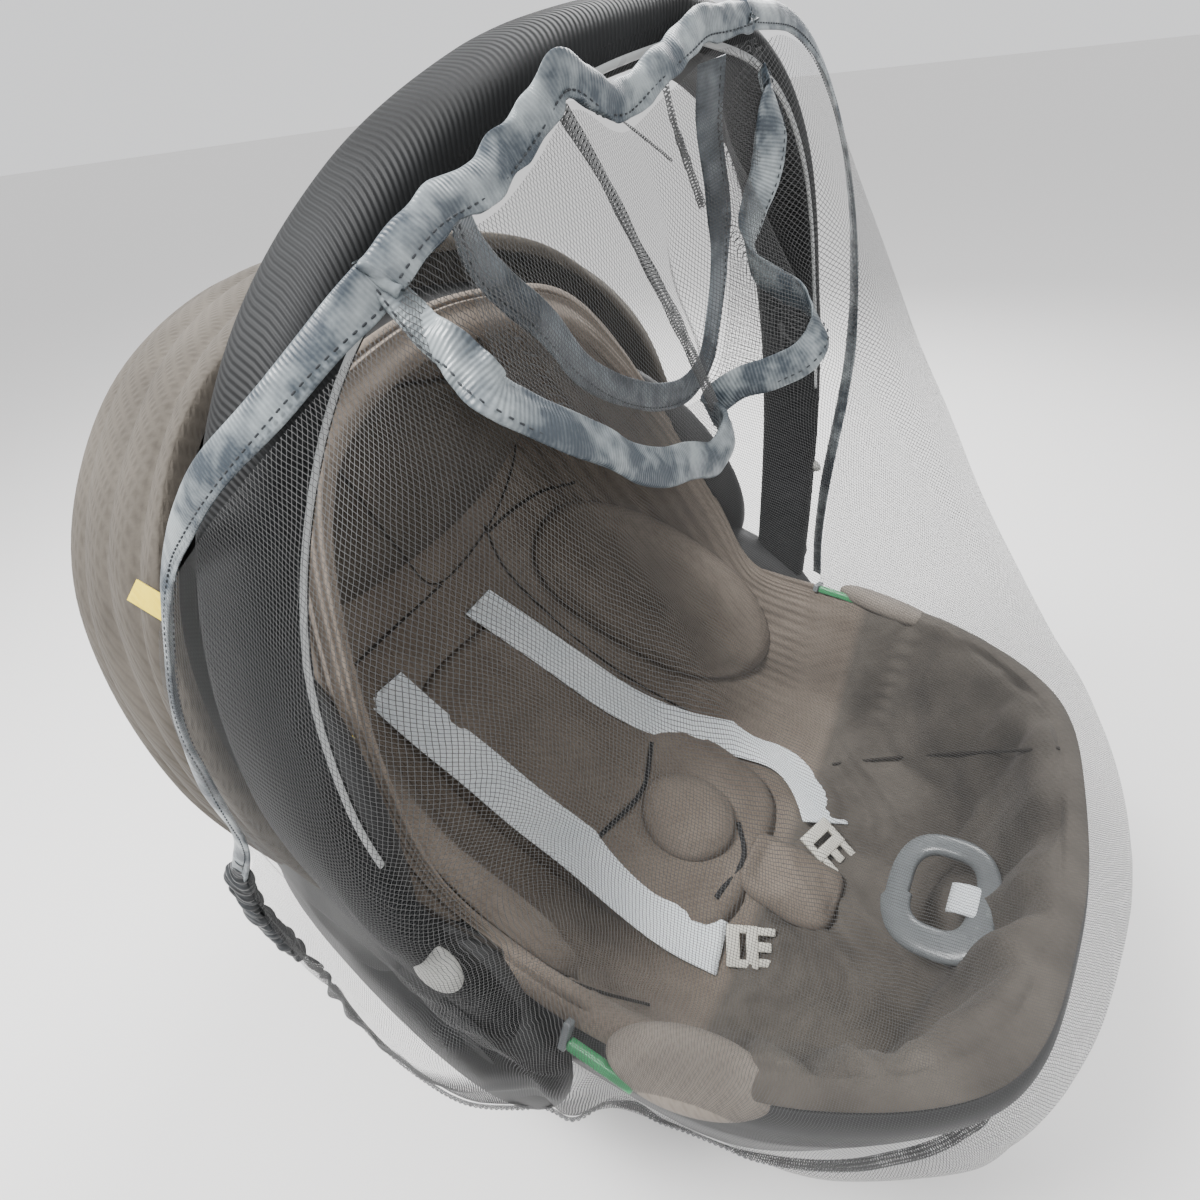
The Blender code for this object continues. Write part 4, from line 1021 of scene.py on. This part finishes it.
def makeSeatCover(out):
    outer = np.array([ringLine(rows) for rows in seat["outer"]])
    under = outer - out * (seat["wall"] + seat["join"])
    under[0, :, 2] = seat["wall"] + seat["join"]
    cavity = np.array([ringLine(rows) for rows in seat["inner"]])
    roll = outer[-1:] + np.array([0.0, 0.0, 3.0])
    crown = (outer[-1:] + cavity[:1]) / 2 + np.array([0.0, 0.0, seat["overRim"] + 5.0])
    under = resample(under, seat["underRows"])
    top = resample(np.concatenate([under[-1:], roll, crown, cavity]), seat["topRows"])
    middle = np.array([-20.0, 0.0, 124.0])
    ends = top[-1] * 0.5 + middle * 0.5
    grid = np.concatenate([under, top[1:], ends[None]])
    x = grid[..., 0]
    y = grid[..., 1]
    shown = np.zeros(grid.shape[:2])
    shown[len(under) + seat["rolledRows"]:] = 1.0
    for _ in range(10):
        shown[1:-1] = (shown[:-2] + shown[1:-1] * 2 + shown[2:]) / 4
    foot = np.clip((x - seat["footFrom"]) / 25.0, 0.0, 1.0) * shown
    crease = np.sin(x * 0.13 + y * 0.05 + 2.6 * np.sin(y * 0.05 + 1.0)) ** 3
    crease = crease + 0.7 * np.sin(x * 0.07 - y * 0.16 + 2.0 * np.sin(x * 0.06)) ** 3
    uneven = softNoise(*grid.shape[:2], 24, 30, 61) * seat["unevenness"]
    relief = crease * seat["wrinkle"] * foot + uneven * shown
    groove = np.exp(-((x - seat["footFrom"] - 10 - 0.0016 * y ** 2) / 2.6) ** 2) * shown
    row = np.arange(len(grid))[:, None]
    piping = (np.exp(-((row - len(under) - 50) / 1.6) ** 2)
              - 1.2 * np.exp(-((row - len(under) - 55) / 1.8) ** 2))
    wing = np.clip((np.abs(y) - seat["wingFrom"]) / 14.0, 0.0, 1.0) * np.clip((70 - x) / 20.0, 0.0, 1.0)
    relief = relief + np.cos(row * 2 * math.pi / 5.0) * seat["wingRib"] * wing * shown
    relief = relief - groove * seat["groove"] + piping * seat["piping"] * (x < 60)
    grid = grid - ringNormals(grid) * relief[..., None]
    piece = closedPiece("seatCover", grid, seatLook)
    place(piece, "cover", "seat_pad")
    return piece


seatCover = makeSeatCover(makeShell())
seatTree = treeOf(seatCover)

pads = {
    "headrestPillow": {"middle": (-150, 0, 392), "face": (1.0, 0.0, 0.30), "up": (-0.3, 0.0, 1.0),
                       "halfWide": 122, "halfHigh": 66, "thick": 34, "square": 2.6, "node": "headrest_pad"},
    "sidePadFar": {"middle": (-74, 90, 236), "face": (0.05, -1.0, 0.25), "up": (0.45, 0.2, 1.0),
                   "halfWide": 116, "halfHigh": 64, "thick": 21, "square": 2.2, "node": "side_pad_far"},
    "sidePadNear": {"middle": (-74, -90, 236), "face": (0.05, 1.0, 0.25), "up": (0.45, -0.2, 1.0),
                    "halfWide": 116, "halfHigh": 64, "thick": 21, "square": 2.2, "node": "side_pad_near"},
    "seatInlay": {"middle": (-30, 0, 240), "face": (0.28, 0.0, 1.0), "up": (-1.0, 0.0, 0.28),
                  "halfWide": 88, "halfHigh": 148, "thick": 20, "square": 4.0, "node": "seat_inlay"},
}


def makePad(name, spec, tree, material, rings=26, spokes=96, gap=0.7):
    # a crowned pad on a curved seat: a disc of lines is dropped on to the surface behind it
    face = unit(np.array(spec["face"], float))
    up = np.array(spec["up"], float)
    up = unit(up - face * np.dot(up, face))
    across = np.cross(up, face)
    turn = np.arange(spokes) * 2 * math.pi / spokes
    p = spec["square"]
    stretch = (np.abs(np.cos(turn)) ** p + np.abs(np.sin(turn)) ** p) ** (-1 / p)
    radius = np.linspace(0.0, 1.0, rings)[:, None]
    flat = (np.array(spec["middle"], float)
            + across * (radius * stretch * np.cos(turn) * spec["halfWide"])[..., None]
            + up * (radius * stretch * np.sin(turn) * spec["halfHigh"])[..., None])
    hits = [tree.ray_cast(Vector(q * mm), Vector(-face)) for q in flat.reshape(-1, 3)]
    reach = np.array([h[3] / mm if h[0] is not None else np.nan for h in hits]).reshape(flat.shape[:2])
    reach = np.where(np.isnan(reach), np.nanmedian(reach), reach)
    middle = np.median(reach)
    reach = np.clip(reach, middle - 70, middle + 70)
    for _ in range(4):
        reach[1:-1] = (reach[:-2] + reach[1:-1] * 2 + reach[2:]) / 4
        reach = (np.roll(reach, 1, 1) + reach * 2 + np.roll(reach, -1, 1)) / 4
    back = flat - face * (reach - gap)[..., None]
    crown = (1 - radius ** 4) ** 0.5 * spec["thick"]
    seamDip = 1.6 * np.exp(-((radius - 0.86) / 0.035) ** 2)
    front = back + face * (1.0 + crown - seamDip + 0 * reach)[..., None]
    grid = np.concatenate([front[1:], back[:0:-1]])
    piece = place(closedPiece(name, grid, material), "cover", spec["node"])
    return piece


padLooks = {"headrestPillow": pillowLook}
padPieces = {name: makePad(name, spec, seatTree, padLooks.get(name, coverLook))
             for name, spec in pads.items()}
print("seat pads made")


def joinTrees(*pieces):
    verts, faces = [], []
    for piece in pieces:
        start = len(verts)
        verts += [v.co.copy() for v in piece.data.vertices]
        faces += [tuple(start + k for k in p.vertices) for p in piece.data.polygons]
    return BVHTree.FromPolygons(verts, faces)


insideTree = joinTrees(seatCover, *padPieces.values())

# straps follow what they lie on; the pixel rows give the middle of the webbing in the photograph
straps = {
    "near": [(385, 690), (430, 730), (480, 770), (530, 812), (580, 850), (630, 893), (680, 930), (722, 950)],
    "far": [(478, 605), (530, 640), (580, 675), (625, 705), (680, 728), (740, 742), (788, 760), (812, 790),
            (825, 825)],
    "wide": 36.0,
    "thick": 1.6,
    "over": 3.0,
    "pleat": 1.6,
    "pleatPitch": 6.0,
    "points": 60,
}


def makeStrap(name, pixels, node):
    spots = np.array([seenAt(px, py, insideTree)[0] for px, py in pixels])
    line = smoothLine(spots, straps["points"])
    line[:, 2] += straps["over"]
    for _ in range(6):
        line[1:-1] = (line[:-2] + line[1:-1] * 2 + line[2:]) / 4
    along = unit(np.gradient(line, axis=0))
    side = unit(np.cross((0.2, 0.0, 1.0), along))
    out = np.cross(along, side)
    corners = 64
    grid = tube(line, side, out, straps["wide"] / 2, straps["thick"] / 2, corners, 0.35)
    across = np.sum((grid - line[:, None]) * side[:, None], axis=2)
    fromTop = np.linspace(0.0, 1.0, straps["points"])[:, None]
    pleat = np.cos(across * 2 * math.pi / straps["pleatPitch"]) * np.exp(-fromTop / 0.09) * straps["pleat"]
    ripple = np.sin(fromTop * 9.0) * 0.5
    grid = grid + out[:, None] * (pleat + ripple)[..., None]
    place(closedPiece(name, grid, strapLook, straps["wide"] / 2), "strap", node)


makeStrap("shoulderStrapNear", straps["near"], "shoulder_strap_near")
makeStrap("shoulderStrapFar", straps["far"], "shoulder_strap_far")

buckle = {
    "cover": {"middle": (40, 0, 240), "face": (0.1, 0.0, 1.0), "up": (1.0, 0.0, -0.1), "halfWide": 34,
              "halfHigh": 37, "thick": 12, "square": 2.0, "node": "buckle_pad"},
    "crotch": {"middle": (114, 0, 240), "face": (0.0, 0.0, 1.0), "up": (1.0, 0.0, 0.0), "halfWide": 26,
               "halfHigh": 34, "thick": 13, "square": 5.0, "node": "crotch_pad"},
}
buckleCover = makePad("buckleCover", buckle["cover"], insideTree, coverLook, rings=18, spokes=64)
crotchPad = makePad("crotchPad", buckle["crotch"], insideTree, coverLook, rings=18, spokes=64)
print("straps and buckle made")


def partFrame(spot, normal, along):
    # axes of a small part that lies on a surface: its length, its width and its height
    up = unit(np.array(normal, float))
    length = np.array(along, float)
    length = unit(length - up * np.dot(length, up))
    return np.array(spot, float), length, np.cross(up, length), up


def blocks(name, material, frameOf, boxes, bevel=0.8):
    # rounded blocks in one piece; each box is centre and size along length, width and height
    spot, length, width, up = frameOf
    work = bmesh.new()
    for centre, size in boxes:
        made = bmesh.ops.create_cube(work, size=1.0)["verts"]
        for v in made:
            c = [v.co[k] * size[k] + centre[k] for k in range(3)]
            v.co = Vector((spot + length * c[0] + width * c[1] + up * c[2]) * mm)
    bmesh.ops.bevel(work, geom=work.edges[:], offset=bevel * mm, segments=3, affect="EDGES", profile=0.6)
    bmesh.ops.recalc_face_normals(work, faces=work.faces)
    mesh = bpy.data.meshes.new(name)
    work.to_mesh(mesh)
    work.free()
    mesh.materials.append(material)
    mesh.shade_smooth()
    return linked(name, mesh)


tongues = {
    "face": (0.25, -0.35, 0.9),
    "near": {"pixel": (738, 952), "along": (0.75, 0.35, 0.0), "node": "strap_tongue_near"},
    "far": {"pixel": (818, 838), "along": (0.85, -0.35, -0.1), "node": "strap_tongue_far"},
    "boxes": [((-4, 0, 0), (9, 26, 5)), ((3, -10.5, 0), (8, 5, 5)), ((3, 10.5, 0), (8, 5, 5)),
              ((9, 0, 0), (8, 26, 5)), ((18, -9, 0), (14, 5, 4)), ((17, 0.5, 0), (10, 6, 4)),
              ((18, 10, 0), (14, 5, 4))],
}
for label in ("near", "far"):
    spec = tongues[label]
    spot, normal = seenAt(*spec["pixel"], insideTree)
    lying = partFrame(spot + normal * 7.0, tongues["face"], spec["along"])
    place(blocks("strapTongue_" + label, ivoryLook, lying, tongues["boxes"], 1.2), "tongue", spec["node"])

adjuster = {
    "spot": (196.0, -7.0, 203.0),
    "face": (-0.40, -0.18, 0.90),
    "along": (0.1, 1.0, 0.0),
    "half": (29.0, 23.0),
    "band": 6.6,
    "thick": 3.4,
}


def makeAdjuster():
    # a rounded flat ring with a strap stub under its far bar
    spot, length, width, up = partFrame(adjuster["spot"], adjuster["face"], adjuster["along"])
    turn = np.linspace(0.0, 2 * math.pi, 97)
    ring = (np.abs(np.cos(turn)) ** 2.8 + np.abs(np.sin(turn)) ** 2.8) ** (-1 / 2.8)
    a, b = adjuster["half"]
    line = (spot + length * (ring * np.cos(turn) * a)[:, None] + width * (ring * np.sin(turn) * b)[:, None])
    side = unit(line - spot)
    grid = tube(line, side, np.tile(up, (97, 1)), adjuster["band"] * (1.0 + 0.35 * (np.cos(turn) < -0.3)),
                adjuster["thick"], 24, 0.75)
    place(gridPiece("adjusterRing", grid[::-1], plateLook, around=True), "plate", "adjuster_plate")
    away = width * np.sign(width[0])
    tail = np.array([spot + away * (4.0 + 3.2 * s) + up * (4.2 * math.sin(s * 0.45) - 1.0) for s in range(8)])
    stub = tube(tail, np.tile(length, (8, 1)), np.tile(up, (8, 1)), 9.0, 0.9, 12, 0.4)
    place(closedPiece("adjusterStrap", stub, strapLook, 9.0), "strap")


makeAdjuster()

# low domes: button, rim pad and hub housing of the near side; each has a mirror image on the far side
domes = {
    "releaseButton": {"spot": (31, -206, 343), "face": (0.35, -0.62, 0.70), "along": (0.85, 0.1, -0.5),
                      "half": (11.0, 6.5, 4.0), "look": capLook, "slot": "cap", "full": 0.7},
    "rimPad": {"spot": (113, -169, 256), "face": (0.08, -0.5, 0.85), "along": (1.0, 0.33, 0.05),
               "half": (37.0, 16.0, 7.0), "look": rimPadLook, "slot": "cover", "full": 0.45,
               "node": "rim_pad"},
    "sidePanel": {"spot": (-104, -177, 332), "face": (-0.1, -1.0, 0.25), "along": (0.60, -0.1, -0.80),
                  "half": (116.0, 74.0, 17.0), "look": shellLook, "slot": "shell", "full": 0.5},
    "hubHousing": {"spot": (-52, -190, 214), "face": (-0.05, -1.0, 0.08), "along": (1.0, -0.05, -0.14),
                   "half": (114.0, 70.0, 26.0), "look": shellLook, "slot": "shell", "full": 0.55},
}


def makeDome(name, spec, mirror=False, rings=30, spokes=96):
    # a low oval dome with a rounded edge
    flip = mirrorY if mirror else np.ones(3)
    spot, length, width, up = partFrame(spec["spot"] * flip, spec["face"] * flip, spec["along"] * flip)
    a, b, c = spec["half"]
    turn = np.arange(spokes) * 2 * math.pi / spokes
    rise = np.linspace(-0.5, 0.5, rings)[:, None] * math.pi
    grid = (spot + length * (np.cos(rise) ** spec["full"] * np.cos(turn) * a)[..., None]
            + width * (np.cos(rise) ** spec["full"] * np.sin(turn) * b)[..., None]
            + up * (np.sin(rise) * c + 0 * turn)[..., None])
    piece = closedPiece(name, grid[1:-1], spec["look"])
    node = spec.get("node")
    return place(piece, spec["slot"], *([node + ("_far" if mirror else "_near")] if node else []))


for name, spec in domes.items():
    for mirror in (False, True):
        made = makeDome(name + ("Far" if mirror else "Near"), spec, mirror)

guides = {
    "near": {"spot": (78, -184, 251), "face": (0.0, -0.75, 0.65), "along": (1.0, 0.12, -0.05)},
    "far": {"spot": (80, 171, 254), "face": (0.0, 0.35, 0.95), "along": (1.0, -0.12, 0.0)},
    "green": [((0, -3, 0), (34, 5, 5))],
    "silver": [((-19, 0, 0.3), (4, 13, 6))],
}
for label in ("near", "far"):
    spec = guides[label]
    lying = partFrame(spec["spot"], spec["face"], spec["along"])
    guide = blocks("beltGuide_" + label, greenLook, lying, guides["green"], 1.6)
    place(guide, "guide", "belt_guide_" + label)
    place(blocks("guideEdge_" + label, plateLook, lying, guides["silver"], 1.2), "guide")


# seams and bands that lie on the seat, traced by pixels of the photograph, with each one's half width; each
# seam is a dark cord of painted shade, standing for the shadow in the seam's groove
seamShadesAndBands = {
    "pillowSeam": (0.8, [(420, 298), (478, 338), (510, 400), (514, 460), (492, 520), (442, 582), (395, 545),
                         (350, 485), (322, 440)]),
    "backSeamNear": (1.2, [(442, 584), (405, 618), (360, 660), (318, 708)]),
    "backSeamFar": (1.6, [(488, 532), (510, 512), (540, 492), (575, 482)]),
    "sidePadSeam": (0.9, [(484, 524), (500, 560), (550, 615), (620, 672), (690, 713)]),
    "footSeam": (1.0, [(832, 764), (868, 760), (900, 757), (945, 754), (990, 752), (1025, 750), (1060, 748)]),
    "wingSeam": (0.9, [(352, 860), (420, 905), (500, 950), (580, 985), (650, 1005)]),
    "bandOne": (1.8, [(652, 742), (642, 790), (600, 836)]),
    "bandTwo": (1.8, [(738, 822), (744, 852), (716, 898)]),
}
seamLift = {"footSeam": 1.8, "others": 0.9}


def makeSeamShadesAndBands():
    tree = joinTrees(seatCover, buckleCover, crotchPad, *padPieces.values())
    for name, (half, pixels) in seamShadesAndBands.items():
        hits = [seenAt(px, py, tree) for px, py in pixels]
        line = smoothLine([hit[0] for hit in hits if hit], 90)
        toEye = unit(np.array(camera["place"]) - line)
        side = unit(np.cross(toEye, np.gradient(line, axis=0)))
        lift = seamLift.get(name, seamLift["others"])
        grid = tube(line + toEye * lift, side, toEye, half, 1.0, 10, 1.0)
        # seam cords take the painted seam shade; bands keep their own black
        look = bandLook if name.startswith("band") else seamShadeLook
        place(closedPiece(name, grid, look), "cover")


makeSeamShadesAndBands()

# plain tags, laid by their pixels in the photograph
labels = {
    "canopyTag": {"pixel": (152, 600), "along": (0.9, 0.0, -0.3), "size": (16, 9)},
    "wingTag": {"pixel": (336, 737), "along": (0.6, 0.2, -0.8), "size": (13, 9)},
}

canopy = {
    "arcs": [
        [(-52, 198, 288), (-74, 204, 350), (-100, 182, 440),
         (-122, 121, 500), (-134, 50, 522), (-137, 0, 526)],
        [(-92, 196, 262), (-133, 208, 345), (-175, 184, 430),
         (-205, 122, 490), (-222, 50, 514), (-226, 0, 518)],
        [(-120, 195, 232), (-175, 204, 300), (-232, 178, 372),
         (-282, 114, 428), (-305, 50, 450), (-310, 0, 456)],
    ],
    "folds": 7,
    "depth": 3.2,
    "thick": 9.0,
    "rows": 90,
    "puff": 1.2,
}


def makeCanopy():
    half = np.array([smoothLine(rows, 60) for rows in canopy["arcs"]])
    band = np.concatenate([half, half[:, -2::-1] * mirrorY], axis=1)
    band = resample(band, canopy["rows"])
    v = np.linspace(0.0, 1.0, canopy["rows"])[:, None]
    u = np.linspace(0.0, 1.0, band.shape[1])[None, :]
    folds = np.abs(np.sin(math.pi * canopy["folds"] * (v + 0.02 * np.sin(u * 20)))) ** 0.6
    puff = softNoise(canopy["rows"], band.shape[1], 10, 16, 41) * canopy["puff"]
    out = gridNormals(band)
    top = band + out * (canopy["thick"] / 2 - canopy["depth"] * (1 - folds) + puff * 0.7)[..., None]
    low = band - out * (canopy["thick"] / 2)
    grid = np.concatenate([top, low[::-1]])
    grid = np.concatenate([grid, grid[:1]])
    rows = grid.transpose(1, 0, 2)[:, :-1]
    piece = place(closedPiece("canopyFolded", rows[::-1], canopyLook), "cover", "canopy_fold")
    return piece


canopyPiece = makeCanopy()
tagTree = joinTrees(canopyPiece, seatCover)
for name, spec in labels.items():
    spot, normal = seenAt(*spec["pixel"], tagTree)
    lying = partFrame(spot + normal * 1.0, normal, spec["along"])
    place(blocks(name, tagLook, lying, [((0, 0, 0), (*spec["size"], 0.8))], 0.2), "cover")
print("canopy made")


stage = {
    "half": 30.0,            # the floor's half width, in metres
    "worldLight": 1.15,
    "lights": {"key": ((-500, -500, 1500), 44.0, 0.4), "fill": ((1200, -300, 1200), 10.0, 1.2),
               "back": ((-300, 1200, 1200), 26.0, 0.7)},
}


def makeStage():
    mesh = bpy.data.meshes.new("floor")
    reach = stage["half"]
    corners = [(-reach, -reach, 0), (reach, -reach, 0), (reach, reach, 0), (-reach, reach, 0)]
    mesh.from_pydata(corners, [], [(0, 1, 2, 3)])
    mesh.materials.append(newMaterial("paleFloor", (0.80, 0.79, 0.78), 0.9)[0])
    linked("floor", mesh)
    world = bpy.data.worlds.new("studio")
    bpy.context.scene.world = world
    world.use_nodes = True
    world.node_tree.nodes["Background"].inputs[0].default_value = (0.98, 0.985, 1.0, 1.0)
    world.node_tree.nodes["Background"].inputs[1].default_value = stage["worldLight"]
    for name, (spot, power, size) in stage["lights"].items():
        data = bpy.data.lights.new(name, "AREA")
        data.energy = power
        data.size = size
        lamp = linked(name, data)
        lamp.location = Vector(spot) * mm
        lamp.rotation_euler = (Vector((0, 0, 0.3)) - lamp.location).to_track_quat("-Z", "Y").to_euler()


makeStage()
print("stage and lights made")
